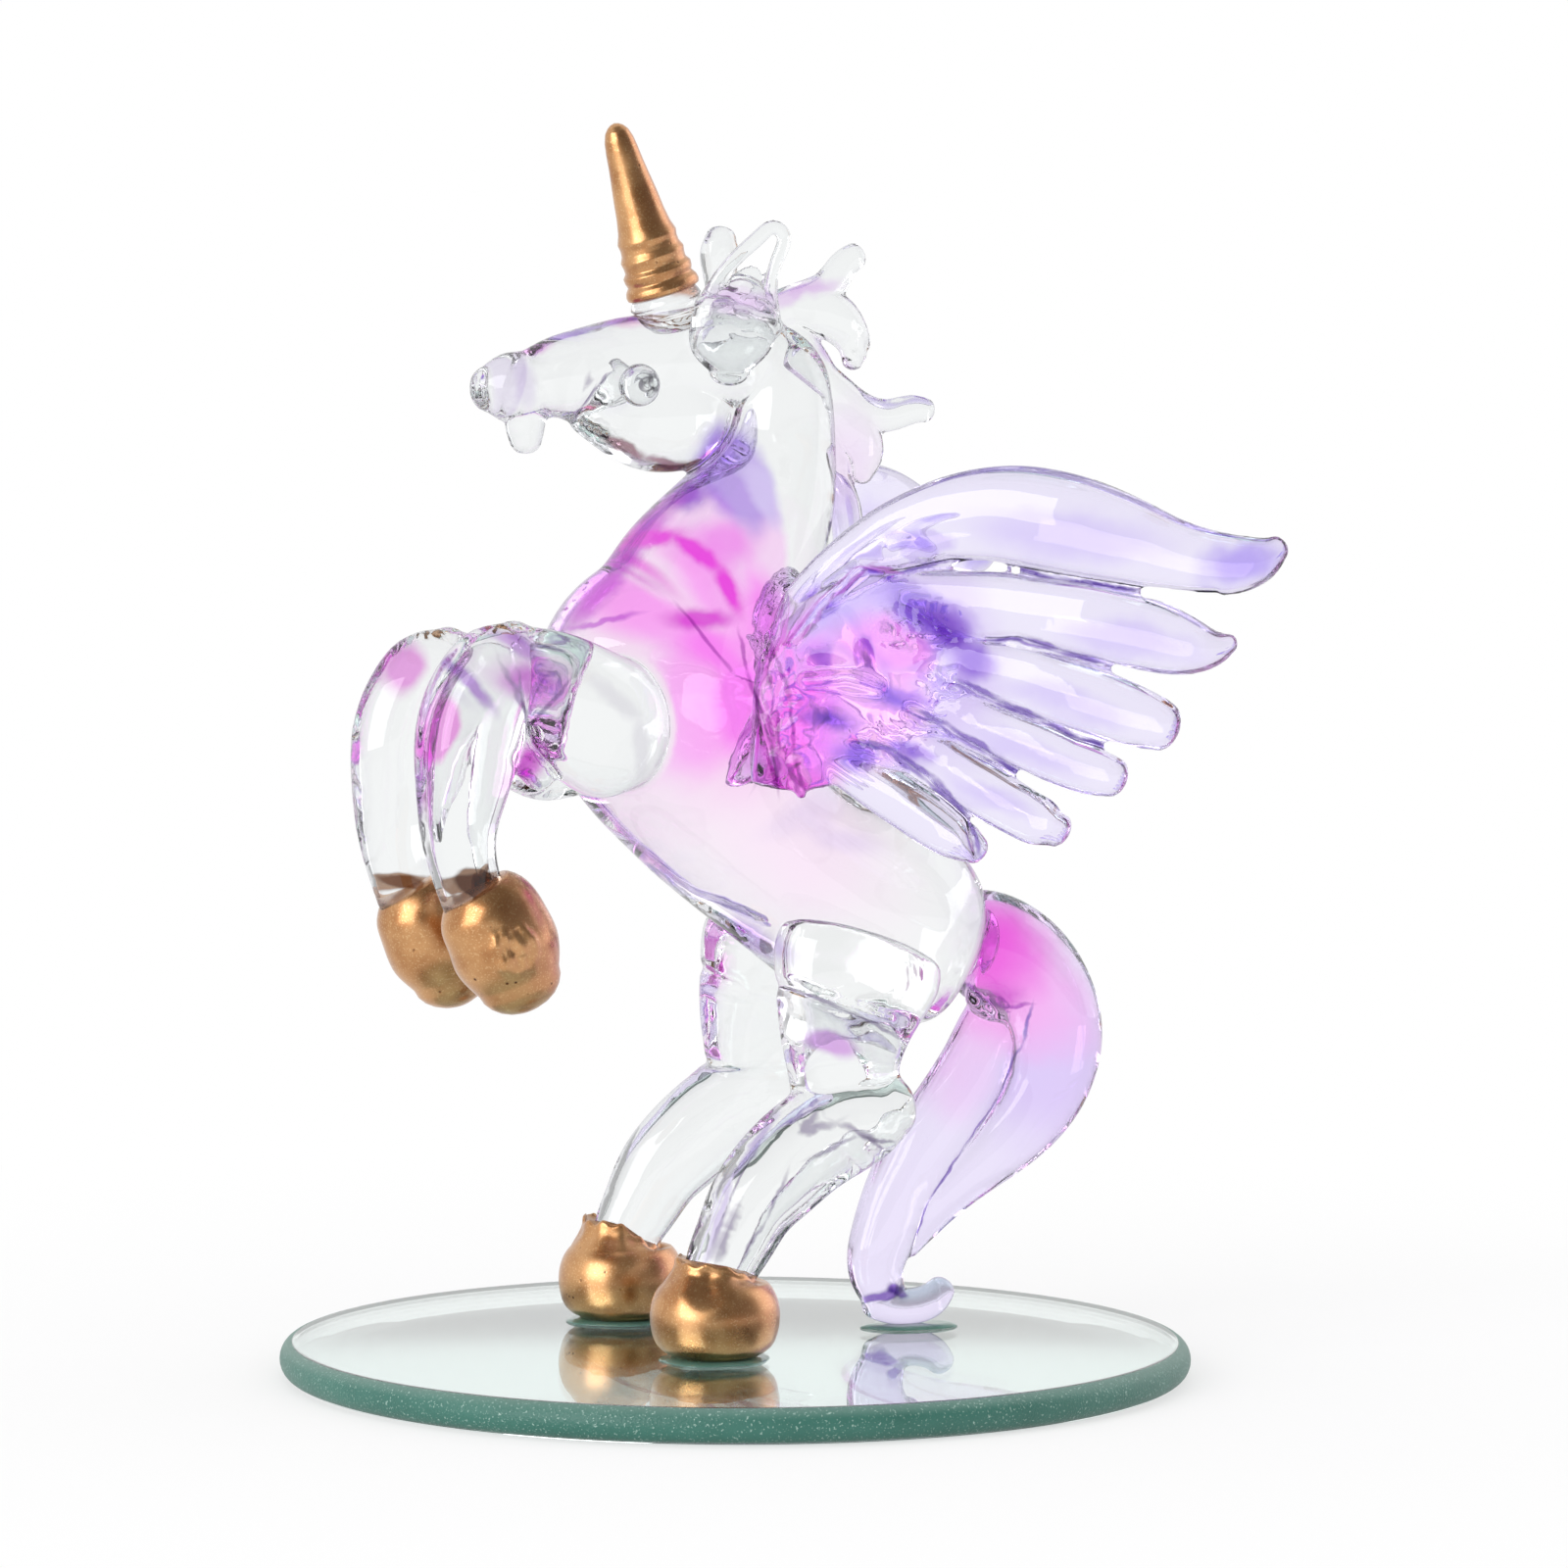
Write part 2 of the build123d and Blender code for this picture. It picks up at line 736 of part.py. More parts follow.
# Tail: a fat outer strand that arches off the rump, a thinner inner one, and a foot on the mirror
tail_root = hip + Vector(0.36, 0, -0.13) * body_length
tail_drop = tail_root.Z - sole_height
tail_outer_shares = [
    (-0.10, 1.006, 0.78),
    (0.10, 1.02, 0.96),
    (0.46, 0.997, 1.0),
    (0.77, 0.907, 1.0),
    (0.93, 0.773, 0.96),
    (0.87, 0.633, 0.83),
    (0.60, 0.512, 0.68),
    (0.21, 0.41, 0.53),
    (-0.11, 0.32, 0.43),
    (-0.28, 0.255, 0.33),
    (-0.37, 0.205, 0.20),
]
tail_inner_shares = [
    (0.39, 0.901, 0.47),
    (0.39, 0.837, 0.75),
    (0.28, 0.722, 0.94),
    (0.07, 0.608, 1.0),
    (-0.19, 0.493, 1.0),
    (-0.43, 0.372, 0.94),
    (-0.59, 0.244, 0.88),
    (-0.65, 0.142, 0.75),
    (-0.59, 0.072, 0.59),
]
tail_foot_shares = [
    (0.0, 0.64, 0.94),
    (0.215, 0.47, 1.0),
    (0.55, 0.44, 0.98),
    (0.83, 0.62, 0.94),
    (0.95, 0.90, 0.72),
    (1.0, 1.11, 0.34),
]


def tail_line(shares):
    """Points behind the root by shares of the tail's bow, and above the sole by shares of its drop."""
    base = Vector(tail_root.X, tail_root.Y, sole_height)
    return [base + Vector(back * tail_bow, 0, up * tail_drop) for back, up, width in shares]


with BuildPart() as tail_inner:
    draw_glass(
        tail_line(tail_inner_shares), widths_of(tail_inner_shares, tail_strand_width), depth_share=0.85
    )
    cut_by(trunk)
with BuildPart() as tail_outer:
    draw_glass(tail_line(tail_outer_shares), widths_of(tail_outer_shares, tail_width), depth_share=0.8)
    cut_by(trunk, tail_inner)
foot_start = Vector(tail_root.X - 0.67 * tail_bow, tail_root.Y, sole_height)
with BuildPart() as tail_foot:
    draw_glass(
        [
            foot_start + Vector(back * tail_foot_length, 0, up * tail_foot_width)
            for back, up, width in tail_foot_shares
        ],
        widths_of(tail_foot_shares, tail_foot_width),
        depth_share=1.0,
    )
    cut_by(tail_inner)
    split(bisect_by=Plane.XY.offset(sole_height), keep=Keep.TOP)
foot_middle = foot_start + Vector(tail_foot_length / 2, 0, -adhesive_thickness)
with BuildPart() as adhesive_tail:
    with BuildSketch(Plane.XY.offset(mirror_thickness)):
        with Locations((foot_middle.X, foot_middle.Y)):
            Ellipse(tail_foot_length / 2 + adhesive_overhang, tail_foot_width / 2 + adhesive_overhang)
    extrude(amount=adhesive_thickness)
for name, piece in (
    ("tail_inner", tail_inner),
    ("tail_outer", tail_outer),
    ("tail_foot", tail_foot),
    ("adhesive_tail", adhesive_tail),
):
    piece.part.label = name
    export_step(piece.part, f"parts/{name}.step")
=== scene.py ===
import math

import bpy
import numpy as np
from mathutils import Matrix, Vector


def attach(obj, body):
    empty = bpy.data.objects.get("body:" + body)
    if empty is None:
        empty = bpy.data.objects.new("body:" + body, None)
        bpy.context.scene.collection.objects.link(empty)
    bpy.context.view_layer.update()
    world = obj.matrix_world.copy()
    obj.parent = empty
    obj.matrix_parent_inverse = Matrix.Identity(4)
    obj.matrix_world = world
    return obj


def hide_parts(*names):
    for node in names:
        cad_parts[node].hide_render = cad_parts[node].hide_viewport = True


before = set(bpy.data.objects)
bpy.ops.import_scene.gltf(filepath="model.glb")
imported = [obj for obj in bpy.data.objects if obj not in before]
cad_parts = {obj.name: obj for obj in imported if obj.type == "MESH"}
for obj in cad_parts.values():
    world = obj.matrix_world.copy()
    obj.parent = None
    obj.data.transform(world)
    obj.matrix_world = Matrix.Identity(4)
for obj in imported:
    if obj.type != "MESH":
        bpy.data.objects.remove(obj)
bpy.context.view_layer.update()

# The studio
# A winged unicorn in drawn glass rears on a round mirror, on a white table in a white room. A
# long lens looks at it from its left, a little from above. Two large soft boxes light it, and a
# dark flag at each side of the room shows in the rims of the glass.
scene = bpy.context.scene
scene.view_settings.view_transform = "Standard"
scene.cycles.max_bounces = 20
scene.cycles.transmission_bounces = 20
scene.cycles.glossy_bounces = 8
scene.cycles.transparent_max_bounces = 24

view_azimuth = math.radians(-20.0)
view_elevation = math.radians(8.504)
view_roll = math.radians(-0.19)
view_distance = 0.520
aim = Vector((0, 0, 0.003))
sensor_width = 36.0
nearest_seen = 0.01
picture_side = 1600
pixels_per_mm = 12.156
mirror_centre_pixel = (752.1, 1364.8)

focal_pixels = pixels_per_mm * view_distance * 1000
away = Vector((
    math.sin(view_azimuth) * math.cos(view_elevation),
    -math.cos(view_azimuth) * math.cos(view_elevation),
    math.sin(view_elevation),
))
level_right = away.cross(Vector((0, 0, -1))).normalized()
pixels_down = picture_side / 2 - mirror_centre_pixel[1]
pixels_aside = mirror_centre_pixel[0] - picture_side / 2
turn_down = Matrix.Rotation(-math.atan(pixels_down / focal_pixels), 3, level_right)
turn_aside = Matrix.Rotation(math.atan(pixels_aside / focal_pixels), 3, "Z")
forward = (turn_aside @ turn_down @ -away).normalized()
right = forward.cross(Vector((0, 0, 1))).normalized()
lens_up = right.cross(forward)
roll = Matrix.Rotation(view_roll, 3, forward)
right, lens_up = roll @ right, roll @ lens_up
camera = bpy.data.objects.new("camera", bpy.data.cameras.new("camera"))
camera.data.sensor_width = sensor_width
camera.data.lens = focal_pixels / picture_side * sensor_width
camera.data.clip_start = nearest_seen
turned = Matrix((right, lens_up, -forward)).transposed().to_4x4()
camera.matrix_world = Matrix.Translation(aim + away * view_distance) @ turned
scene.collection.objects.link(camera)
scene.camera = camera


class Recipe:
    """A material's or the world's nodes, added one call at a time and linked by name."""

    def __init__(self, owner):
        owner.use_nodes = True
        self.tree = owner.node_tree
        self.tree.nodes.clear()

    def give(self, socket, value):
        """Links a socket to another node's, or sets it to a plain value."""
        if isinstance(value, bpy.types.NodeSocket):
            self.tree.links.new(value, socket)
        else:
            socket.default_value = value

    def add(self, kind, settings=None, **sockets):
        """Adds a node, sets its properties, and gives its sockets their values.

        A socket is named in words with _ for a space, or as in_ and its number.
        """
        node = self.tree.nodes.new(kind)
        for name, value in (settings or {}).items():
            setattr(node, name, value)
        for name, value in sockets.items():
            if name.startswith("in_"):
                self.give(node.inputs[int(name[3:])], value)
            else:
                words = name.replace("_", " ").title()
                self.give(node.inputs[words.replace("Ior", "IOR")], value)
        return node

    def object_place(self):
        """The place on the piece, in metres."""
        return self.add("ShaderNodeTexCoord").outputs["Object"]

    def math(self, operation, first, second=0.0):
        """One Math node's result."""
        node = self.add("ShaderNodeMath", {"operation": operation}, in_0=first, in_1=second)
        return node.outputs[0]

    def vector(self, operation, first, second=(0, 0, 0), **sockets):
        """One Vector Math node's results."""
        settings = {"operation": operation}
        return self.add(
            "ShaderNodeVectorMath", settings, in_0=first, in_1=second, **sockets
        ).outputs

    def noise(self, place, scale, detail, **sockets):
        """The results of a noise whose cells are 1 / scale metres wide."""
        return self.add(
            "ShaderNodeTexNoise", in_0=place, scale=scale, detail=detail, **sockets
        ).outputs

    def ramp(self, value, start, end, low=0.0, high=1.0):
        """A smooth climb from low to high while the value goes from start to end."""
        return self.add(
            "ShaderNodeMapRange", {"interpolation_type": "SMOOTHSTEP"},
            in_0=value, in_1=start, in_2=end, in_3=low, in_4=high,
        ).outputs[0]

    def mix(self, share, first, second, blend_type="MIX"):
        """One colour turning into the other as the share climbs from 0 to 1."""
        settings = {"data_type": "RGBA", "blend_type": blend_type}
        return self.add(
            "ShaderNodeMix", settings, in_0=share, in_6=first, in_7=second
        ).outputs[2]

    def finish(self, shader):
        """Gives a shader to the material's surface."""
        self.add("ShaderNodeOutputMaterial", surface=shader.outputs[0])


def tone(red, green, blue):
    """A colour from its eight-bit screen values, as the linear light that the shaders take."""
    screen = np.array([red, green, blue]) / 255
    linear = np.where(screen <= 0.04045, screen / 12.92, ((screen + 0.055) / 1.055) ** 2.4)
    return (*linear.tolist(), 1.0)


# The flags stand about a direction's share to the side of 0.8 to 0.9, and end overhead. They show
# through glass only. What gloss shows is the room behind the lens, a little darker.
white = (1.0, 1.0, 1.0, 1.0)
flag_darkness = 0.80
front_darkness = 0.75
room = bpy.data.worlds.new("white_studio")
scene.world = room
sky = Recipe(room)
path = sky.add("ShaderNodeLightPath").outputs
direction = sky.add("ShaderNodeTexCoord").outputs["Generated"]
into_view = (-math.sin(view_azimuth), math.cos(view_azimuth), 0.0)
across_view = (math.cos(view_azimuth), math.sin(view_azimuth), 0.0)
depth = sky.vector("DOT_PRODUCT", direction, into_view)["Value"]
side = sky.vector("DOT_PRODUCT", direction, across_view)["Value"]
height = sky.add("ShaderNodeSeparateXYZ", in_0=direction).outputs["Z"]
aside = sky.math("ABSOLUTE", side)
flag = sky.math(
    "MULTIPLY", sky.ramp(aside, 0.70, 0.80), sky.ramp(aside, 0.90, 0.98, low=1.0, high=0.45)
)
overhead = sky.ramp(height, 0.45, 0.80)
dark_flag = sky.math("MULTIPLY", flag, sky.math("SUBTRACT", 1.0, overhead))
seen_through = sky.math("SUBTRACT", 1.0, sky.math("MULTIPLY", dark_flag, flag_darkness))
front = sky.math("MULTIPLY", sky.ramp(depth, 0.25, -0.15), sky.ramp(side, -0.80, -0.45))
seen_in_gloss = sky.math("SUBTRACT", 1.0, sky.math("MULTIPLY", front, front_darkness))
level = sky.math(
    "ADD", sky.math("MULTIPLY", path["Is Transmission Ray"], seen_through),
    sky.math("MULTIPLY", path["Is Glossy Ray"], seen_in_gloss),
)
bent_ray = sky.math("MAXIMUM", path["Is Transmission Ray"], path["Is Glossy Ray"])
plain = sky.math("SUBTRACT", 1.0, bent_ray)
strength = sky.math("ADD", sky.math("MINIMUM", level, 1.0), plain)
background = sky.add("ShaderNodeBackground", color=white, strength=strength)
sky.add("ShaderNodeOutputWorld", surface=background.outputs[0])

lamp_aim = Vector((0, 0, 0.05))


def soft_box(name, place, side_length, power):
    """A square area lamp that faces the figurine's middle."""
    lamp = bpy.data.lights.new(name, "AREA")
    lamp.size = side_length
    lamp.energy = power
    box = bpy.data.objects.new(name, lamp)
    box.location = place
    towards = lamp_aim - Vector(place)
    box.rotation_euler = towards.to_track_quat("-Z", "Y").to_euler()
    scene.collection.objects.link(box)


soft_box("key_box", (-1.00, -0.55, 0.42), side_length=0.85, power=9)
soft_box("fill_box", (0.95, 0.05, 0.40), side_length=0.8, power=1.6)

table_reach = 3.0
table_grey = (0.8, 0.8, 0.8, 1.0)
# near the figurine the table shows some of its own light and shadow, and further out plain white
plain_near, plain_far = 0.04, 0.16
plain_share_near = 0.62
table_mesh = bpy.data.meshes.new("white_table")
table_mesh.from_pydata(
    [(x * table_reach, y * table_reach, 0) for x, y in ((-1, -1), (1, -1), (1, 1), (-1, 1))],
    [], [(0, 1, 2, 3)],
)
table = bpy.data.objects.new("white_table", table_mesh)
scene.collection.objects.link(table)
table_paint = bpy.data.materials.new("white_table")
mat = Recipe(table_paint)
path = mat.add("ShaderNodeLightPath").outputs
place = mat.object_place()
reach = mat.vector("LENGTH", place)["Value"]
glow_share = mat.ramp(reach, plain_near, plain_far, low=plain_share_near)
seen = mat.math("MAXIMUM", path["Is Glossy Ray"], path["Is Transmission Ray"])
seen = mat.math("MAXIMUM", path["Is Camera Ray"], seen)
lit = mat.add("ShaderNodeBsdfDiffuse", color=table_grey)
glow = mat.add("ShaderNodeEmission", color=white, strength=1.0)
glow_share = mat.math("MULTIPLY", seen, glow_share)
mat.finish(mat.add(
    "ShaderNodeMixShader", in_0=glow_share, in_1=lit.outputs[0], in_2=glow.outputs[0]
))
table_mesh.materials.append(table_paint)

# Mirror
# A round of 3 mm plate glass, silvered and painted underneath. Its edge is ground to a pencil
# round and left satin, so that it shows the green of the glass.
mm = 0.001
mirror_radius = 38.0
mirror_top = 3.0
backing = 0.2
edge_rounding = 1.15
rim_round = 0.25
mirror_ring = 288


def new_mesh(name, points, faces):
    """A mesh from points, and the corners of all its faces in one row with how many each has."""
    corners, counts = faces
    mesh = bpy.data.meshes.new(name)
    mesh.vertices.add(len(points))
    mesh.vertices.foreach_set("co", np.ravel(points))
    mesh.loops.add(len(corners))
    mesh.loops.foreach_set("vertex_index", corners)
    mesh.polygons.add(len(counts))
    mesh.polygons.foreach_set("loop_start", np.cumsum(counts) - counts)
    mesh.update(calc_edges=True)
    return mesh


def new_piece(name, points, faces, material, *nodes, slot):
    """A smooth piece from points in millimetres, which stands for the named nodes."""
    mesh = new_mesh(name, np.asarray(points) * mm, faces)
    mesh.polygons.foreach_set("use_smooth", np.ones(len(mesh.polygons), bool))
    mesh.materials.append(material)
    piece = bpy.data.objects.new(name, mesh)
    scene.collection.objects.link(piece)
    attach(piece, "root")
    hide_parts(*nodes)


def grid_faces(rows, columns):
    """Faces of a tube of rows of points: quads between each ring and the next, and end caps."""
    here = np.arange(rows * columns).reshape(rows, columns)
    following = np.roll(here, -1, axis=1)
    quads = np.stack([here[:-1], following[:-1], following[1:], here[1:]], axis=-1)
    corners = np.concatenate([quads.ravel(), here[0, ::-1], here[-1]])
    return corners, np.append(np.full((rows - 1) * columns, 4), [columns, columns])


def lathed(radii, heights, ring):
    """Points of a profile turned round the Z axis: each radius at each height, at even angles."""
    angle = np.linspace(0, 2 * np.pi, ring, endpoint=False)
    radii, heights = np.asarray(radii)[:, None], np.asarray(heights)[:, None]
    points = [radii * np.cos(angle), radii * np.sin(angle), heights + 0 * angle]
    return np.stack(points, axis=-1).reshape(-1, 3)


lean = np.linspace(-np.pi / 2, np.pi / 2, 15)
middle, half = (mirror_top + backing) / 2, (mirror_top - backing) / 2
flat = mirror_radius - edge_rounding
flat_radii = np.array([0.05, 20, 35, flat - rim_round])
plate_radii = np.concatenate([flat_radii, flat + edge_rounding * np.cos(lean), flat_radii[::-1]])
plate_heights = np.concatenate([
    np.full(4, backing), middle + half * np.sin(lean), np.full(4, mirror_top)
])
plate_glass = bpy.data.materials.new("plate_glass")
mat = Recipe(plate_glass)
place = mat.object_place()
flat_place = mat.vector("MULTIPLY", place, (1, 1, 0))[0]
reach = mat.vector("LENGTH", flat_place)["Value"]
ground = mat.ramp(reach, (flat + 0.05) * mm, (flat + 0.2) * mm)
grit = mat.noise(place, 5200.0, 2.0)["Fac"]
cloud = mat.noise(place, 260.0, 3.0)["Fac"]
sparkle = mat.ramp(grit, 0.60, 0.72)
upper = mat.ramp(mat.add("ShaderNodeSeparateXYZ", in_0=place).outputs["Z"], 2.1 * mm, 2.9 * mm)
edge_green = mat.mix(cloud, tone(36, 90, 79), tone(54, 110, 97))
# painted light: the upper part of the round turns paler, where it faces the light from above
edge_green = mat.mix(mat.math("MULTIPLY", upper, 0.5), edge_green, tone(108, 136, 127))
edge_green = mat.mix(mat.math("MULTIPLY", sparkle, 0.5), edge_green, tone(190, 214, 204))
face = mat.add(
    "ShaderNodeBsdfPrincipled", base_color=tone(240, 248, 246), roughness=0.0, ior=1.5,
    transmission_weight=1.0,
)
bump = mat.add("ShaderNodeBump", strength=0.35, distance=0.2 * mm, height=grit)
rim = mat.add(
    "ShaderNodeBsdfPrincipled", base_color=edge_green, roughness=0.42, ior=1.5,
    normal=bump.outputs[0],
)
mat.finish(mat.add(
    "ShaderNodeMixShader", in_0=ground, in_1=face.outputs[0], in_2=rim.outputs[0]
))
new_piece(
    "mirror_plate", lathed(plate_radii, plate_heights, mirror_ring),
    grid_faces(len(plate_radii), mirror_ring), plate_glass, "mirror_glass", slot="plate_glass",
)

silver = bpy.data.materials.new("silver")
mat = Recipe(silver)
drift = mat.noise(mat.object_place(), 60.0, 2.0)["Fac"]
shade = mat.mix(drift, tone(236, 243, 241), tone(241, 246, 245))
mat.finish(mat.add("ShaderNodeBsdfPrincipled", base_color=shade, metallic=1.0, roughness=0.0))
silver_radii = [0.05, flat - 0.05, flat, flat, flat - 0.05, 0.05]
silver_heights = [0.0, 0.0, 0.05, backing - 0.03, backing - 0.01, backing - 0.01]
new_piece(
    "mirror_silver", lathed(silver_radii, silver_heights, mirror_ring),
    grid_faces(len(silver_radii), mirror_ring), silver, "mirror_backing", slot="mirror_backing",
)

# Body, neck, head and legs
# One run of welded soda glass: the body rod swells at the rump and the chest, and the limbs, the
# head and the jaw are gathers put on hot. Magenta and violet glass runs inside the neck and chest.
middle_y = 0.8


def in_middle(rows):
    """Rows of x, z and width as rows of x, y, z and width, in the figure's middle plane."""
    return np.insert(np.asarray(rows, float), 1, middle_y, axis=1)


def through(rows, steps):
    """A natural cubic through the rows, against the length run from row to row, at even steps.

    Its second slopes, bend, solve the usual three-term system, and are zero at both ends.
    """
    rows = np.asarray(rows, float)
    gap = np.linalg.norm(np.diff(rows[:, :3], axis=0), axis=1)
    run = np.concatenate([[0], np.cumsum(gap)])
    count = len(rows)
    system, load = np.zeros((count, count)), np.zeros_like(rows)
    system[0, 0] = system[-1, -1] = 1
    inner = np.arange(1, count - 1)
    system[inner, inner - 1] = gap[:-1]
    system[inner, inner] = 2 * (gap[:-1] + gap[1:])
    system[inner, inner + 1] = gap[1:]
    load[1:-1] = 6 * np.diff(np.diff(rows, axis=0) / gap[:, None], axis=0)
    bend = np.linalg.solve(system, load)
    at = np.linspace(0, run[-1], steps)
    k = np.clip(np.searchsorted(run, at, side="right") - 1, 0, count - 2)
    h, t = gap[k][:, None], (at - run[k])[:, None]
    u = h - t
    curved = (bend[k] * u**3 + bend[k + 1] * t**3) / (6 * h)
    before = (rows[k] / h - bend[k] * h / 6) * u
    after = (rows[k + 1] / h - bend[k + 1] * h / 6) * t
    return curved + before + after


def gather(rows, depth_share, across=(0, 1, 0), grooves=(), dome=(0.7, 0.7), ring=48):
    """A closed gather of glass: an oval square to the line of the rows, carried along it.

    The oval is as wide as the rows' last number, and depth_share of that along the across
    direction. Each groove (angle, depth, width) dents the oval. Domes round off both ends, as
    high as the dome's share of the half width there.
    """
    rows = np.asarray(rows, float)
    length = np.linalg.norm(np.diff(rows[:, :3], axis=0), axis=1).sum()
    ring_spacing, dome_rings, thinnest = 0.4, 6, 0.05
    line = through(rows, max(14, int(length / ring_spacing)))
    centre, width = line[:, :3], np.maximum(line[:, 3], thinnest)
    heading = np.gradient(centre, axis=0)
    heading /= np.linalg.norm(heading, axis=1)[:, None]
    rise = np.linspace(0, np.pi / 2, dome_rings + 1)[1:]
    ends = []
    for end, sign, height in ((0, -1, dome[0]), (-1, 1, dome[1])):
        step = sign * height * width[end] / 2 * np.sin(rise)
        cap = centre[end] + step[:, None] * heading[end]
        cap_width = width[end] * np.maximum(np.cos(rise), 0.02)
        ends.append((cap, cap_width, np.repeat(heading[end][None], len(rise), axis=0)))
    centre = np.concatenate([ends[0][0][::-1], centre, ends[1][0]])
    width = np.concatenate([ends[0][1][::-1], width, ends[1][1]])
    heading = np.concatenate([ends[0][2], heading, ends[1][2]])
    outward = np.cross(heading, np.asarray(across, float))
    outward /= np.linalg.norm(outward, axis=1)[:, None]
    thick = np.cross(heading, outward)
    angle = np.linspace(0, 2 * np.pi, ring, endpoint=False)
    dent = np.ones(ring)
    for groove_angle, groove_depth, groove_width in grooves:
        gone = np.abs((angle - math.radians(groove_angle) + np.pi) % (2 * np.pi) - np.pi)
        dent -= groove_depth * np.exp(-((gone / math.radians(groove_width)) ** 2))
    reach = width[:, None, None] / 2 * dent[None, :, None]
    oval = (
        np.cos(angle)[None, :, None] * outward[:, None]
        + depth_share * np.sin(angle)[None, :, None] * thick[:, None]
    )
    return (centre[:, None] + reach * oval).reshape(-1, 3), grid_faces(len(centre), ring)


def other_side(shell):
    """The shell turned over about the figure's middle plane, with its faces turned back out."""
    points, (corners, counts) = shell
    return points * [1, -1, 1] + [0, 2 * middle_y, 0], (corners[::-1], counts[::-1])


def lowered(rows, drop):
    """The rows set lower by a length, with their widths kept."""
    return np.asarray(rows, float) - np.array([0, 0, drop, 0])


def waves(points, wavelength, seed):
    """Eight crossed sine waves of about that length in seeded directions, added up.

    The sum stays within about -1 and 1.
    """
    draw = np.random.default_rng(seed)
    way = draw.normal(size=(8, 3))
    pitch = 2 * np.pi / wavelength * draw.uniform(0.6, 1.6, (8, 1))
    way *= pitch / np.linalg.norm(way, axis=1)[:, None]
    return np.sin(points @ way.T + draw.uniform(0, 2 * np.pi, 8)).mean(axis=1) * 1.6


def ridges(points, wavelength, seed):
    """The waves with their zero lines drawn up into sharp ridges."""
    return 1 - 2 * np.abs(waves(points, wavelength, seed))


def near(points, centre, reach):
    """1 at a place, falling to 0 at about the reach from it, a length or one each way."""
    gone = (points - np.asarray(centre)) / np.asarray(reach)
    return np.exp(-2.0 * (gone**2).sum(axis=1))


def beside(points, line, reach):
    """1 on a line through x and z, whatever y is, falling to 0 at about twice the reach."""
    flat_points, line = points[:, [0, 2]], np.asarray(line, float)
    gone = np.full(len(points), np.inf)
    for start, end in zip(line, line[1:]):
        step = end - start
        share = np.clip((flat_points - start) @ step / (step @ step), 0, 1)
        nearest = start + share[:, None] * step
        gone = np.minimum(gone, np.linalg.norm(flat_points - nearest, axis=1))
    return np.exp(-((gone / reach) ** 2))


def welded(name, shells, relief, voxel, flow):
    """Points and faces of the closed shells melted into one skin.

    The shells are cut into voxels, so what lies inside is gone, and the skin is evened out as
    often as flow says. Relief then moves each point along its normal by a length.
    """
    sizes = [len(points) for points, _ in shells]
    starts = np.cumsum(sizes) - sizes
    corners = np.concatenate([faces[0] + start for (_, faces), start in zip(shells, starts)])
    counts = np.concatenate([faces[1] for _, faces in shells])
    points = np.concatenate([points for points, _ in shells])
    mesh = new_mesh(name + "_shells", points, (corners, counts))
    lump = bpy.data.objects.new(name + "_shells", mesh)
    scene.collection.objects.link(lump)
    melt = lump.modifiers.new("melt", "REMESH")
    melt.mode = "VOXEL"
    melt.voxel_size = voxel
    even = lump.modifiers.new("flow", "SMOOTH")
    even.factor = 0.5
    even.iterations = flow
    melted = lump.evaluated_get(bpy.context.evaluated_depsgraph_get())
    skin = bpy.data.meshes.new_from_object(melted)
    where, out = np.empty(len(skin.vertices) * 3), np.empty(len(skin.vertices) * 3)
    skin.vertices.foreach_get("co", where)
    skin.vertices.foreach_get("normal", out)
    where, out = where.reshape(-1, 3), out.reshape(-1, 3)
    corners, counts = np.empty(len(skin.loops), int), np.empty(len(skin.polygons), int)
    skin.loops.foreach_get("vertex_index", corners)
    skin.polygons.foreach_get("loop_total", counts)
    bpy.data.objects.remove(lump)
    bpy.data.meshes.remove(mesh)
    bpy.data.meshes.remove(skin)
    return where + out * relief(where)[:, None], (corners, counts)


# the colours' large swirls and the lines' small shivers, by the noise's scale and reach in mm
swirl_scale, shiver_scale, shiver = 210.0, 700.0, 0.7
right_through = 30.0
soda_glass_index = 1.48
# the soft shade and the dark outline of a surface that turns away
shade_colour, shade_power, shade_share = (198, 196, 208), 1.6, 0.8
outline_power, outline_share = 4.0, 0.9


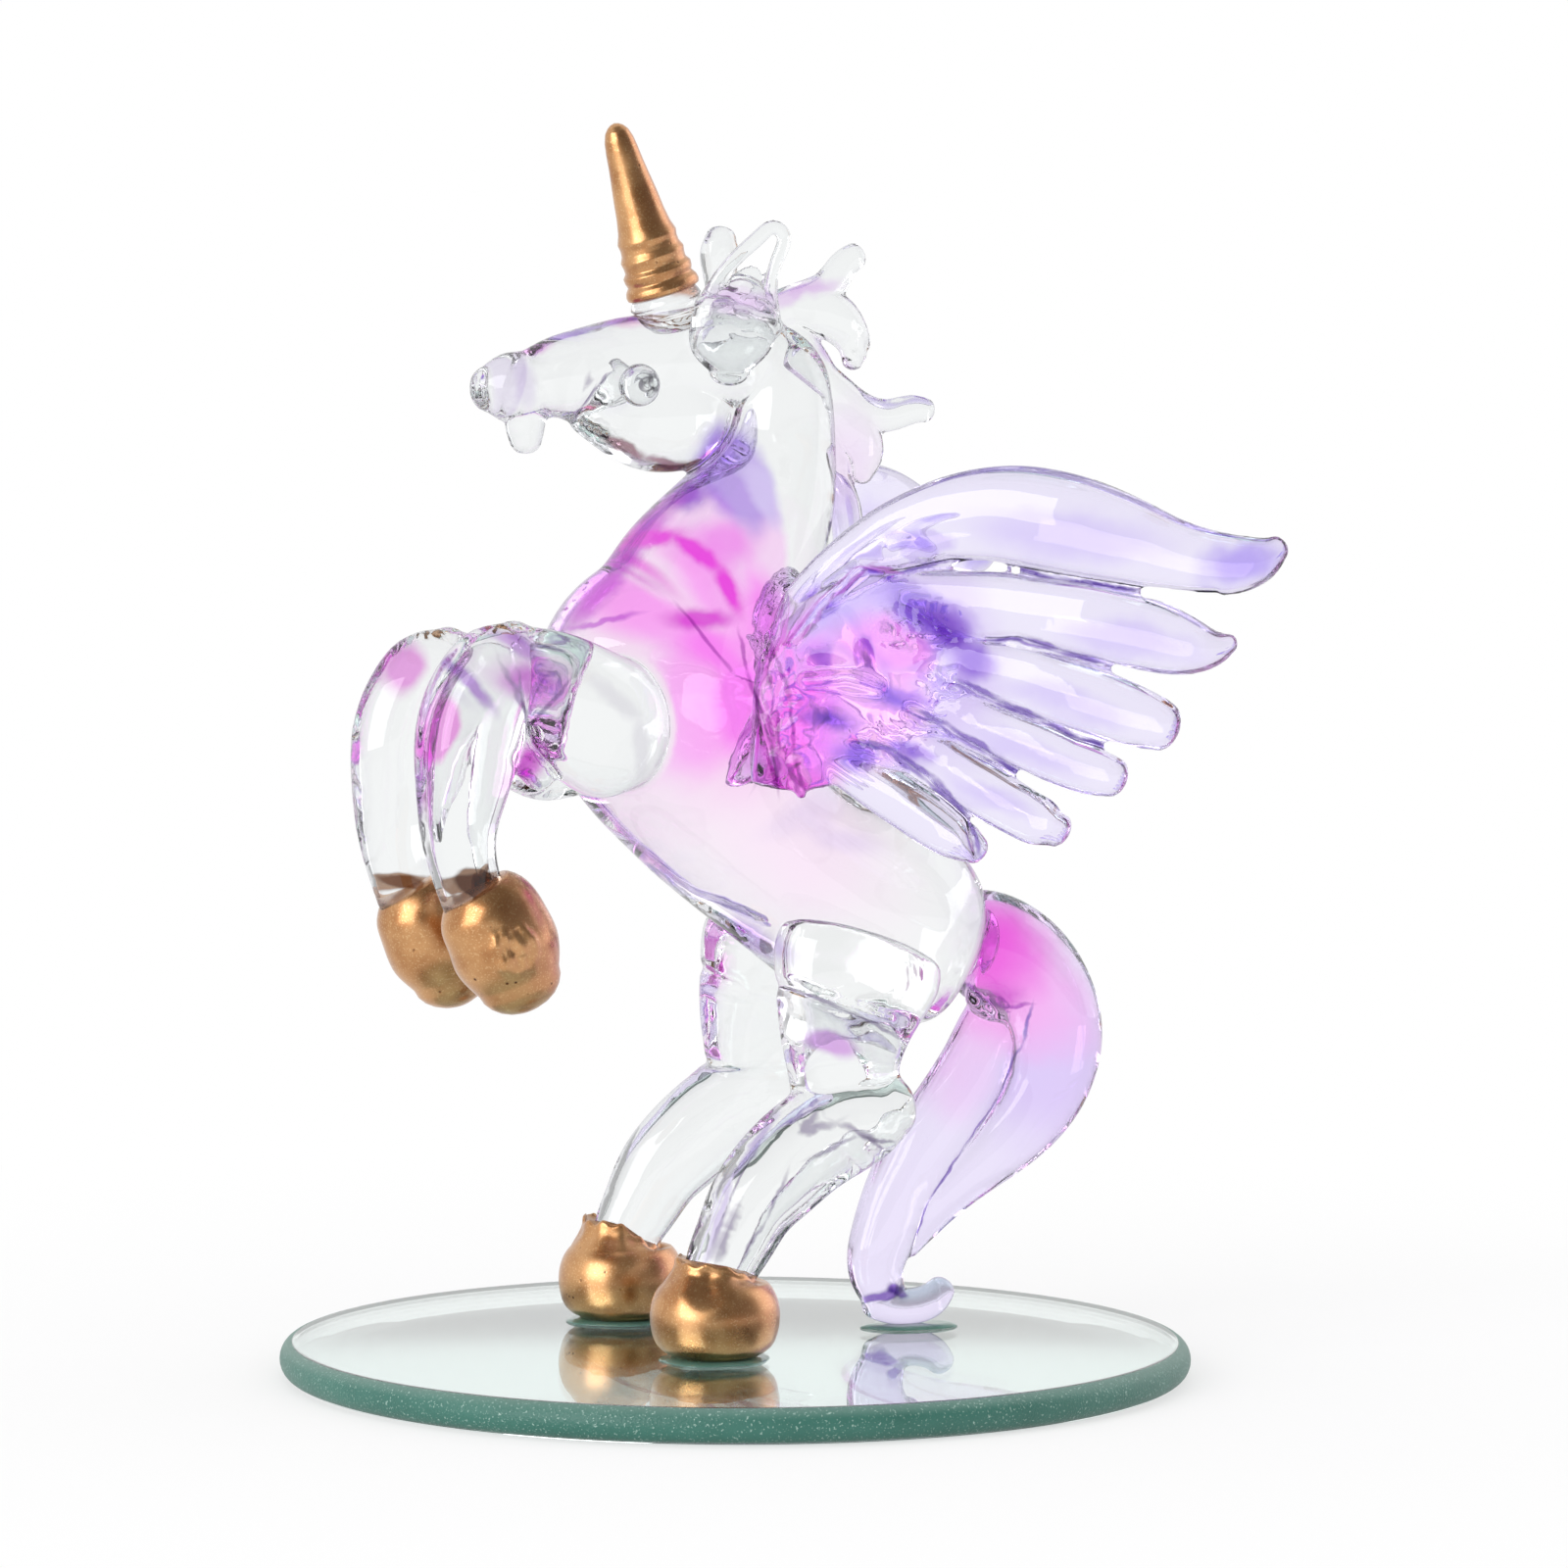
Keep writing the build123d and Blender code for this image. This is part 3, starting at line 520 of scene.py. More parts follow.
def glass(
    name, base, patches, lines=(), swirl=0.6, through_y=9.0, outline=(70, 62, 84), folded=False
):
    """Flame-polished glass, tinted in soft patches, which looks darker where it turns away.

    A patch is a colour, a centre, three half sizes, a turn about Y in degrees and a softness, in
    millimetres. Where the centre is only x and z, the patch lies in the middle plane and reaches
    through_y to both sides of it. A line is a colour, points of x and z, a half width and, unless
    it goes right through, the y of its middle and its half depth. Swirl says how far the patches
    are stirred. Folded glass has the same colours on both sides of the figure.
    """
    material = bpy.data.materials.new(name)
    mat = Recipe(material)
    place = mat.object_place()
    if folded:
        parts = mat.add("ShaderNodeSeparateXYZ", in_0=place).outputs
        half_y = mat.math("ABSOLUTE", mat.math("SUBTRACT", parts["Y"], middle_y * mm))
        place = mat.add("ShaderNodeCombineXYZ", in_0=parts["X"], in_1=half_y, in_2=parts["Z"])
        place = place.outputs[0]

    def stirred(place, scale, reach, **sockets):
        """The place moved about by a soft noise."""
        push = mat.noise(place, scale, **sockets)["Color"]
        push = mat.vector("SUBTRACT", push, (0.5, 0.5, 0.5))[0]
        push = mat.vector("SCALE", push, scale=reach * mm)[0]
        return mat.vector("ADD", place, push)[0]

    def gone_from(place, centre, half_sizes, turn):
        """How far the place is from a turned oval's centre, where 1 is its edge."""
        spot = mat.add(
            "ShaderNodeMapping", {"vector_type": "TEXTURE"}, vector=place,
            location=[c * mm for c in centre], rotation=(0, turn, 0),
            scale=[h * mm for h in half_sizes],
        )
        return mat.vector("LENGTH", spot.outputs[0])["Value"]

    stirred_place = stirred(place, swirl_scale, swirl * 6, detail=3.0, roughness=0.55)
    colour = tone(*base)
    for patch_colour, centre, half_sizes, turn, softness in patches:
        if len(centre) == 2:
            centre = (centre[0], middle_y, centre[1])
            half_sizes = (half_sizes[0], through_y, half_sizes[1])
        gone = gone_from(stirred_place, centre, half_sizes, math.radians(turn))
        share = mat.ramp(gone, 1.0 + softness, 1.0 - softness)
        colour = mat.mix(share, colour, tone(*patch_colour))
    if lines:
        place = stirred(place, shiver_scale, shiver, detail=2.0)
    for line_colour, line_points, half_width, *y_and_half in lines:
        line_y, half_y = y_and_half or (middle_y, right_through)
        closest = None
        for start, end in zip(line_points, line_points[1:]):
            run, climb = end[0] - start[0], end[1] - start[1]
            centre = ((start[0] + end[0]) / 2, line_y, (start[1] + end[1]) / 2)
            half_sizes = (math.hypot(run, climb) / 2 + half_width, half_y, half_width)
            gone = gone_from(place, centre, half_sizes, -math.atan2(climb, run))
            closest = gone if closest is None else mat.math("MINIMUM", closest, gone)
        colour = mat.mix(mat.ramp(closest, 1.5, 0.5), colour, tone(*line_colour))
    turned_away = mat.add("ShaderNodeLayerWeight", blend=0.5).outputs["Facing"]
    shade = mat.math("MULTIPLY", mat.math("POWER", turned_away, shade_power), shade_share)
    shaded = mat.mix(shade, colour, tone(*shade_colour), "MULTIPLY")
    edge = mat.math("MULTIPLY", mat.math("POWER", turned_away, outline_power), outline_share)
    shown = mat.mix(edge, shaded, tone(*outline))
    mat.finish(mat.add(
        "ShaderNodeBsdfPrincipled", base_color=shown, roughness=0.0, ior=soda_glass_index,
        transmission_weight=1.0,
    ))
    return material


# rows of x, z and width, or of x, y, z and width where they leave the middle plane
trunk_rows = [
    (21.3, 35.3, 5.9), (20.1, 35.7, 11.0), (17.5, 36.3, 15.7), (13.5, 37.8, 17.8),
    (7.9, 40.9, 16.7), (2.0, 44.9, 15.7), (-3.0, 49.8, 16.9), (-6.0, 54.0, 18.5),
    (-7.3, 58.1, 19.3), (-5.0, 61.4, 17.7), (-2.3, 65.3, 17.0), (0.7, 69.9, 14.6),
    (3.1, 74.7, 11.6), (4.1, 79.1, 9.2), (4.1, 82.5, 8.0), (3.4, 85.1, 6.1), (2.6, 86.9, 3.4),
]
face_rows = [
    (2.5, 84.5, 6.6), (0.1, 84.5, 7.4), (-3.4, 84.3, 7.8), (-8.4, 84.2, 8.0), (-12.9, 83.5, 7.4),
    (-16.5, 82.8, 6.3), (-18.2, 82.4, 5.6), (-19.4, 82.2, 5.8), (-20.7, 82.1, 5.2),
    (-21.7, 82.0, 3.8),
]
jaw_rows = [
    (-14.9, 81.4, 3.2), (-12.4, 80.6, 5.5), (-9.1, 80.0, 8.5), (-5.9, 80.0, 9.6), (-2.9, 80.7, 7.6),
    (-1.0, 81.4, 4.0),
]
lip_rows = [(-18.3, 81.7, 2.7), (-18.3, 80.7, 3.2), (-18.3, 79.2, 3.4), (-18.2, 77.6, 2.7)]
shank_rows = [
    (-5.5, -11.0, 7.9, 5.5), (-5.3, -11.0, 10.3, 6.1), (-4.0, -10.9, 13.0, 6.9),
    (-2.5, -10.7, 15.6, 7.6), (-0.3, -10.5, 17.9, 8.3), (2.1, -10.3, 19.9, 8.6),
    (5.2, -10.0, 21.6, 8.7), (8.2, -9.8, 22.6, 7.6), (10.0, -9.7, 23.2, 5.8),
]
thigh_rows = [
    (6.5, -9.6, 22.5, 8.4), (6.0, -9.4, 26.0, 9.6), (6.2, -9.0, 29.2, 11.4),
    (6.9, -8.4, 32.1, 13.4), (7.7, -7.9, 34.6, 14.8), (8.2, -7.5, 36.1, 14.4),
]
upper_arm_rows = [
    (-10.5, -4.8, 53.1, 8.6), (-11.8, -5.7, 53.7, 10.6), (-14.0, -6.8, 54.7, 11.6),
    (-17.1, -7.9, 56.8, 10.4), (-20.1, -8.2, 58.9, 8.4), (-22.2, -8.2, 60.1, 6.4),
]
forearm_rows = [
    (-21.5, -8.2, 61.8, 4.2), (-22.7, -8.2, 60.5, 7.0), (-24.5, -8.2, 58.1, 8.6),
    (-26.0, -8.2, 54.5, 8.8), (-26.5, -8.2, 50.5, 8.0), (-26.8, -8.2, 46.9, 6.6),
    (-26.3, -8.2, 43.3, 5.6), (-25.3, -8.2, 40.3, 5.4),
]
elbow_rows = [(-22.8, -8.0, 54.2, 3.0), (-21.0, -7.8, 52.2, 3.0), (-19.4, -7.4, 50.6, 2.6)]
right_foreleg_drop = 1.1

leg = [
    gather(shank_rows, 0.82, grooves=[(35, 0.10, 12), (-145, 0.08, 14)]),
    gather(thigh_rows, 0.62, dome=(0.5, 0.12)),
]
arm = [
    gather(upper_arm_rows, 0.72, dome=(0.3, 0.6)),
    gather(forearm_rows, 0.8, grooves=[(150, 0.10, 12), (-150, 0.08, 12)], dome=(0.6, 0.4)),
    gather(elbow_rows, 0.6),
]
far_arm = [
    gather(lowered(upper_arm_rows, right_foreleg_drop), 0.72, dome=(0.3, 0.6)),
    gather(
        lowered(forearm_rows, right_foreleg_drop), 0.8, grooves=[(150, 0.10, 12)],
        dome=(0.6, 0.4),
    ),
]
figure_shells = [
    gather(in_middle(trunk_rows), 0.93, ring=72), gather(in_middle(face_rows), 0.92, ring=56),
    gather(in_middle(jaw_rows), 0.78), gather(in_middle(lip_rows), 1.0, ring=28),
    *leg, *arm, *[other_side(shell) for shell in leg + far_arm],
]

thigh_fold = [(0.3, 33.3), (2.3, 32.3), (5.3, 31.4), (9.1, 30.1), (10.6, 28.6)]
cheek_fold = [(-14.4, 79.4), (-13.9, 80.7), (-13.0, 82.4), (-12.2, 83.2)]
nose_seam = [(-18.4, 84.7), (-18.9, 83.0), (-19.4, 81.2), (-19.9, 79.4)]
figure_crinkles = [
    # centre, reach and depth: elbow, fore knee, hock, shin, nose and thigh
    ((-20.8, -8.6, 52.0), (2.8, 4.0, 2.6), 0.30),
    ((-22.5, -9.0, 60.2), 3.2, 0.16),
    ((7.5, -10.8, 20.6), (4.4, 4.0, 2.2), 0.26),
    ((1.2, -11.5, 24.9), (2.0, 4.0, 1.2), 0.18),
    ((-19.3, 0.0, 82.2), (1.3, 3.2, 3.4), 0.20),
    ((5.0, -12.0, 30.4), (6.0, 3.0, 1.6), 0.08),
]


def figure_relief(points):
    """Slow waves all over, folds pressed in by a tool, and sharp crinkles at both sides alike."""
    gone_aside = np.abs(points[:, 1] - middle_y)
    left_half = np.stack([points[:, 0], -gone_aside, points[:, 2]], axis=1)
    crinkle = sum(near(left_half, centre, reach) * deep for centre, reach, deep in figure_crinkles)
    folds = (
        beside(points, thigh_fold, 0.5) * (gone_aside > 6) * 0.24
        + beside(points, cheek_fold, 0.4) * 0.22 + beside(points, nose_seam, 0.35) * 0.20
    )
    return 0.05 * waves(points, 9.0, 1) + crinkle * ridges(points, 3.0, 4) - folds


clear = (244, 246, 246)
hot_pink = (253, 134, 247)
magenta = (222, 42, 208)
violet = (150, 110, 222)
deep_violet = (112, 58, 190)
blush = (251, 232, 249)
rose = (249, 206, 243)
plum = (150, 50, 160)
slate = (128, 118, 146)
figure_patches = [
    # the neck's and chest's colour, laid from the large pale areas to the small strong ones
    (blush, (4.0, 45.0), (12.0, 5.5), 36, 0.45),
    (rose, (-3.0, 57.0), (6.5, 10.0), -14, 0.35),
    (rose, (-9.0, 65.5), (6.0, 4.0), -30, 0.35),
    (hot_pink, (-2.2, 56.8), (3.2, 6.4), -4, 0.25),
    (hot_pink, (-4.3, 60.8), (4.2, 1.9), 12, 0.3),
    ((251, 190, 248), (0.2, 68.4), (2.3, 6.2), -5, 0.2),
    (hot_pink, (-0.1, 64.2), (1.9, 3.4), -4, 0.35),
    ((251, 222, 249), (-7.8, 66.3), (4.3, 1.8), 32, 0.2),
    ((236, 130, 234), (-3.2, 69.6), (3.2, 2.0), -10, 0.5),
    (violet, (-1.3, 74.6), (2.8, 4.8), -10, 0.25),
    # painted reflection: the paler band in the violet is a soft box seen in the glass
    ((186, 160, 242), (0.6, 73.6), (1.2, 3.2), -16, 0.4),
    (deep_violet, (-5.2, 73.4), (1.9, 1.1), -28, 0.5),
    # painted shade, in pale grey-lilac and violet: the rump's end, the groin, the inner thighs and
    # behind the belly
    ((228, 222, 238), (20.6, 39.0), (2.4, 5.0), -20, 0.5),
    ((226, 206, 240), (7.3, 44.9), (3.6, 1.1), 12, 0.5),
    ((176, 140, 226), (0.3, -3.0, 36.5), (2.6, 8.0, 1.1), 38, 0.5),
    ((238, 216, 242), (0.6, 0.8, 32.0), (1.4, 9.0, 2.6), 8, 0.6),
    ((190, 120, 214), (4.0, -11.5, 28.6), (2.3, 5.0, 1.0), 15, 0.4),
    # a magenta thread on the forehead and the nose, streaks down the forelegs, and the brown of
    # the lacquer in the glass just above the fore hooves
    ((214, 70, 206), (-9.8, 0.8, 87.6), (3.2, 2.0, 0.8), 3, 0.5),
    ((214, 120, 214), (-18.0, 0.8, 85.4), (1.5, 3.0, 0.7), -22, 0.5),
    ((238, 112, 222), (-29.0, -9.0, 54.8), (1.2, 6.0, 2.9), 20, 0.2),
    ((206, 130, 214), (-21.8, -9.0, 58.6), (2.4, 6.0, 1.5), -10, 0.5),
    ((214, 110, 208), (-26.8, 8.0, 59.0), (1.5, 5.0, 2.3), 28, 0.4),
    ((216, 206, 232), (-19.0, 0.8, 82.6), (0.9, 9.0, 2.0), 0, 0.5),
    ((176, 120, 206), (-22.6, -9.0, 61.4), (2.4, 6.0, 0.7), 28, 0.5),
    ((206, 90, 206), (-21.4, -8.6, 51.6), (1.2, 6.0, 2.4), 38, 0.6),
    ((84, 50, 32), (-25.2, -10.0, 42.2), (2.6, 6.0, 1.2), 16, 0.1),
    ((110, 70, 46), (-26.4, 9.8, 41.2), (2.6, 6.0, 0.7), 12, 0.2),
]
seam_left = [(-2.4, 62.1), (-1.5, 58.9), (0.2, 55.7), (1.1, 53.0), (1.4, 49.2)]
seam_right = [(0.8, 61.3), (1.9, 56.7), (2.5, 51.9), (3.4, 48.9)]
figure_lines = [
    (plum, seam_left, 0.22),
    ((176, 96, 200), [(-15.3, 62.5), (-10.8, 63.8)], 0.22),
    ((190, 80, 210), [(-15.8, 62.3), (-6.4, 73.0)], 0.8),
    (magenta, [(-12.4, 68.4), (-10.4, 69.5), (-7.1, 70.1), (-4.1, 67.5), (-2.6, 64.2)], 0.75),
    ((200, 50, 196), [(-8.0, 63.3), (-3.8, 63.3)], 0.8),
    ((196, 96, 204), [(-16.6, 47.7), (-11.4, 43.6), (-4.6, 39.6)], 0.28),
    # painted shade: the dark line under the jaw
    ((112, 74, 84), [(-12.3, 78.3), (-8.6, 76.4), (-4.2, 75.5)], 0.40),
    # painted shade: the slate lines darken the cheek fold, the thigh fold, the hock and the shin,
    # the lilac-grey line beside them on the shin too, and the pale grey band darkens the inside of
    # the upper arm's right edge
    (slate, cheek_fold, 0.16),
    (slate, [(0.3, 33.3), (5.3, 31.4), (10.6, 28.6)], 0.18, -9.0, 8.0),
    (slate, [(9.4, 20.4), (5.6, 21.2), (1.2, 19.5)], 0.20, -9.5, 9.0),
    ((170, 150, 206), [(-0.6, 23.0), (-4.8, 18.0), (-7.2, 11.4)], 0.30, -9.5, 9.0),
    (slate, [(-0.6, 18.4), (-2.4, 14.8), (-4.6, 10.9)], 0.20, -9.5, 9.0),
    ((216, 214, 222), [(-17.0, 59.0), (-12.4, 55.4), (-11.6, 51.4)], 0.8, -7.5, 7.0),
    ((150, 112, 186), [(-30.2, 52.0), (-30.6, 46.2), (-29.2, 41.6)], 0.42, -8.5, 8.0),
    ((146, 96, 190), [(-28.2, 60.4), (-25.2, 56.6)], 0.6, -9.5, 6.0),
    # painted shade: slate lines in the elbow's creases
    (slate, [(-22.8, 59.2), (-21.6, 54.8), (-18.4, 58.8)], 0.20, -8.5, 8.0),
]
figure_glass = glass(
    "clear_and_rose_glass", clear, figure_patches, figure_lines, swirl=0.32, through_y=14.0
)
points, faces = welded("figure", figure_shells, figure_relief, voxel=0.30, flow=12)
new_piece(
    "glass_figure", points, faces, figure_glass,
    "torso", "neck", "head", "muzzle_tip", "lower_lip", "jaw",
    "thigh_left", "thigh_right", "shank_left", "shank_right",
    "foreleg_upper_left", "foreleg_upper_right", "foreleg_lower_left", "foreleg_lower_right",
    slot="tinted_glass",
)

# Eyes
# A dot of clear glass pressed onto each cheek, with a fine groove round its middle. The air
# shut in behind it shows as a dark ring.
eye_place = (-9.6, -2.72, 82.4)
eye_radius = 1.75
eye_flatness = 0.72
groove_radius, groove_width, groove_depth = 0.62, 0.16, 0.16
eye_rings, eye_ring = 26, 64
climb = np.linspace(0, 1, eye_rings)
eye_radii = eye_radius * np.sin(np.pi * np.clip(climb, 0.004, 0.996))
eye_heights = -eye_flatness * eye_radius * np.cos(np.pi * climb)
groove = groove_depth * np.exp(-(((eye_radii - groove_radius) / groove_width) ** 2))
eye_heights = eye_heights - groove * (eye_heights > 0)
dot = lathed(eye_radii, eye_heights, eye_ring)
placed = np.stack([dot[:, 0], -dot[:, 2], dot[:, 1]], axis=1) + eye_place
eye_shell = (placed, grid_faces(eye_rings, eye_ring))
eye_glass = glass("eye_glass", clear, [
    ((70, 66, 78), (-8.7, 82.6), (0.66, 0.66), 0, 0.2),
    (clear, (-8.7, 82.6), (0.42, 0.42), 0, 0.2),
], swirl=0.0)
for side_name, (points, faces) in (("left", eye_shell), ("right", other_side(eye_shell))):
    new_piece(
        f"eye_dot_{side_name}", points, faces, eye_glass, f"eye_{side_name}", slot="clear_glass"
    )

# Ears
# The left ear is a rod of glass folded into a pointed loop, with a thin web in it, on a crumpled
# root over a flat pad. The right ear is a plain paddle.
ear_loop = [
    (-3.6, -3.2, 89.8, 1.5), (-2.6, -3.5, 91.6, 1.3), (-1.2, -3.7, 93.2, 1.25),
    (0.4, -3.8, 94.6, 1.3), (1.8, -3.8, 95.4, 1.2), (2.5, -3.8, 94.9, 1.2), (2.2, -3.8, 93.2, 1.15),
    (1.6, -3.7, 91.4, 1.1), (1.5, -3.5, 89.6, 1.3), (1.8, -3.2, 87.9, 1.5),
]
ear_web = [(-1.6, -3.1, 88.6, 4.4), (-0.6, -3.1, 90.4, 3.4), (0.3, -3.2, 91.8, 1.8)]
ear_root_rows = [
    (-4.0, -2.9, 88.7, 2.6), (-1.8, -3.3, 88.6, 3.6), (0.6, -3.2, 88.0, 3.2),
    (1.8, -2.9, 87.0, 2.4),
]
ear_pad_rows = [
    (-1.8, -2.8, 83.6, 3.6), (-1.8, -2.9, 84.8, 6.2), (-1.7, -3.1, 86.6, 7.4),
    (-1.1, -3.2, 88.6, 6.4), (-0.6, -3.2, 89.8, 4.4),
]
paddle_rows = [
    (-0.2, 3.5, 85.9, 2.5), (-0.3, 3.5, 89.3, 2.5), (-0.4, 3.5, 91.9, 3.0), (-0.4, 3.5, 94.0, 3.2),
    (-0.3, 3.5, 94.8, 2.6),
]
ear_shells = [
    gather(ear_loop, 0.9, ring=24), gather(ear_web, 0.10, ring=40),
    gather(ear_root_rows, 0.7, ring=32), gather(ear_pad_rows, 0.46, ring=48),
]


def ear_relief(at):
    """Crumples round the ear's root, drawn out from front to back."""
    return near(at, (-1.2, -3.4, 88.6), (3.6, 3.0, 2.2)) * 0.26 * ridges(at * [0.6, 1, 1.6], 2.0, 7)


ear_glass = glass(
    "ear_glass", clear, [((232, 208, 243), (-1.0, -3.2, 89.4), (3.0, 3.0, 1.2), 4, 0.6)]
)
points, faces = welded("ear_left", ear_shells, ear_relief, voxel=0.15, flow=4)
new_piece("folded_ear", points, faces, ear_glass, "ear_left", "ear_pad_left", slot="clear_glass")
points, faces = welded(
    "ear_right", [gather(paddle_rows, 0.7, ring=40)], lambda at: 0.03 * waves(at, 3.0, 8),
    voxel=0.18, flow=4,
)
new_piece("paddle_ear", points, faces, ear_glass, "ear_right", slot="clear_glass")

# Mane
# A crest of clear glass down the back of the neck, with locks drawn out of it and curled over.
# Each row is x, z and width, in the middle plane.
mane_rows = {
    "crest": [
        (3.6, 88.6, 2.2), (6.5, 84.8, 3.2), (8.2, 81.3, 3.2), (8.6, 77.2, 3.2), (8.4, 73.8, 3.0),
        (7.7, 71.1, 1.8),
    ],
    "lock_upper": [
        (3.0, 88.2, 3.7), (6.0, 89.4, 3.5), (8.3, 90.7, 3.1), (9.6, 92.5, 2.6), (10.7, 93.3, 2.2),
    ],
    "lock_middle": [
        (5.5, 84.8, 3.5), (8.0, 82.4, 3.7), (10.8, 80.4, 3.5), (13.6, 80.0, 2.8), (16.2, 80.5, 2.4),
        (17.1, 80.4, 2.1),
    ],
    "lock_lower": [
        (7.9, 76.8, 2.8), (8.8, 73.6, 3.7), (9.5, 70.6, 3.9), (9.0, 67.8, 2.8), (8.2, 66.5, 1.9),
    ],
    "curl_upper": [
        (5.2, 88.8, 3.6), (7.7, 88.6, 4.4), (9.6, 87.4, 3.8), (10.5, 85.6, 2.7), (10.4, 84.4, 1.8),
    ],
    "curl_middle": [
        (7.8, 81.4, 3.1), (9.1, 80.2, 4.0), (10.4, 78.7, 4.4), (11.4, 76.6, 3.6), (11.2, 75.0, 2.1),
    ],
}


def mane_relief(at):
    """Slow waves, and sharp wrinkles where the upper curl turns over."""
    return 0.05 * waves(at, 4.0, 11) + near(at, (11.0, 0.8, 85.6), 2.0) * 0.2 * ridges(at, 2.0, 12)


mane_glass = glass("mane_glass", clear, [
    ((242, 228, 248), (9.5, 76.0), (3.0, 4.6), 0, 0.6),
    # painted shade: two thin lilac streaks in the creases where the upper lock parts from its curl,
    # and where that curl meets the middle lock
    ((222, 186, 236), (5.0, 90.0), (3.4, 0.6), -12, 0.6),
    ((214, 184, 234), (8.4, 84.6), (2.2, 0.6), 45, 0.6),
], through_y=4.0)
mane_shells = [gather(in_middle(rows), 0.75, ring=36) for rows in mane_rows.values()]
points, faces = welded("mane", mane_shells, mane_relief, voxel=0.19, flow=8)
new_piece(
    "glass_mane", points, faces, mane_glass, *[f"mane_{name}" for name in mane_rows],
    slot="clear_glass",
)

# Horn
# A cone of glass with a few wound rings, painted with bronze-gold lacquer to just short of the
# clear collar that welds it to the forehead.
horn_foot = np.array([-5.484, middle_y, 87.37])
horn_lean = math.radians(17.3)
horn_up = np.array([-math.sin(horn_lean), 0, math.cos(horn_lean)])
horn_side = np.array([math.cos(horn_lean), 0, math.sin(horn_lean)])
horn_ring = 96
unevenness, ring_tilt = 0.035, 0.22
# rows of height and radius along the axis
horn_profile = [
    (2.75, 2.7), (2.9, 3.0), (3.2, 3.08), (3.6, 3.0), (4.0, 2.72), (4.4, 2.86), (4.8, 2.9),
    (5.2, 2.62), (5.6, 2.64), (6.1, 2.74), (6.6, 2.5), (7.1, 2.46), (7.6, 2.54), (8.4, 2.24),
    (9.6, 2.0), (11.0, 1.84), (12.4, 1.66), (13.8, 1.48), (15.0, 1.36), (15.9, 1.22), (16.6, 0.98),
    (17.0, 0.66), (17.2, 0.36), (17.29, 0.04),
]
collar_profile = [
    (-1.2, 0.05), (-0.6, 2.4), (0.0, 2.9), (0.35, 3.02), (0.7, 2.86), (1.05, 3.1), (1.35, 2.98),
    (1.7, 2.82), (2.05, 3.04), (2.4, 2.9), (2.75, 2.7), (2.95, 0.05),
]


def along_horn(profile, seed):
    """The heights and radii turned round the horn's axis, a little uneven round and along it."""
    profile = np.array(profile)
    known, count = np.arange(len(profile)), 5 * len(profile)
    at = np.linspace(0, known[-1], count)
    height, radius = np.interp(at, known, profile[:, 0]), np.interp(at, known, profile[:, 1])
    spread = lathed(radius, height, horn_ring)
    spread[:, :2] *= (1 + unevenness * waves(spread, 5.0, seed))[:, None]
    tilt = ring_tilt * np.sin(np.arctan2(spread[:, 1], spread[:, 0]) + 0.8)
    spread[:, 2] += tilt * near(spread, (0, 0, 6.0), (9, 9, 5.0))
    aside, forth, up = spread[:, :1], spread[:, 1:2], spread[:, 2:]
    points = horn_foot + aside * horn_side + forth * np.array([0, 1, 0]) + up * horn_up
    return points, grid_faces(count, horn_ring)


# the lacquer: fine bright flake, drifts of thicker and thinner paint, and small pits
gold = bpy.data.materials.new("bronze_gold_lacquer")
mat = Recipe(gold)
place = mat.object_place()
drift = mat.noise(place, 330.0, 4.0)["Fac"]
flake = mat.noise(place, 6500.0, 1.0)["Fac"]
pits = mat.add("ShaderNodeTexVoronoi", in_0=place, scale=900.0).outputs["Distance"]
pit = mat.math("MULTIPLY", mat.ramp(pits, 0.16, 0.06), mat.ramp(drift, 0.5, 0.62))
colour = mat.mix(mat.ramp(drift, 0.32, 0.68), tone(174, 120, 74), tone(204, 154, 104))
facing = mat.add("ShaderNodeTexCoord").outputs["Normal"]
# painted shade and reflection: the side that faces right and a little forward, away from the key
# box, turns copper-pink
painted_shade_side = mat.vector("DOT_PRODUCT", facing, (0.85, -0.3, 0.0))["Value"]
painted_shade_share = mat.math("MULTIPLY", mat.ramp(painted_shade_side, 0.1, 0.9), 0.6)
colour = mat.mix(painted_shade_share, colour, tone(200, 138, 108))
flake_share = mat.math("MULTIPLY", mat.ramp(flake, 0.56, 0.70), 0.3)
colour = mat.mix(flake_share, colour, tone(250, 220, 168))
colour = mat.mix(pit, colour, tone(96, 54, 28))
under = {}
for strength, distance, height in (
    (0.10, 0.4, drift), (0.35, 0.1, mat.math("SUBTRACT", 1.0, pit)), (0.12, 0.05, flake)
):
    bump = mat.add(
        "ShaderNodeBump", strength=strength, distance=distance * mm, height=height, **under
    )
    under = {"normal": bump.outputs[0]}
mat.finish(mat.add(
    "ShaderNodeBsdfPrincipled", base_color=colour, metallic=1.0,
    roughness=mat.ramp(drift, 0.3, 0.7, low=0.26, high=0.36),
    coat_weight=0.4, coat_roughness=0.2, **under,
))
points, faces = along_horn(horn_profile, 21)
new_piece("gilded_horn", points, faces, gold, "horn", slot="gold_lacquer")
collar_glass = glass("collar_glass", clear, [
    ((176, 112, 84), (-4.6, -2.0, 90.6), (2.4, 2.0, 0.9), -15, 0.3),
    ((150, 92, 52), (-8.4, -1.0, 91.2), (1.2, 2.4, 0.7), -15, 0.3),
], swirl=0.25)
points, faces = along_horn(collar_profile, 22)
new_piece("horn_collar", points, faces, collar_glass, "horn_base", slot="clear_glass")

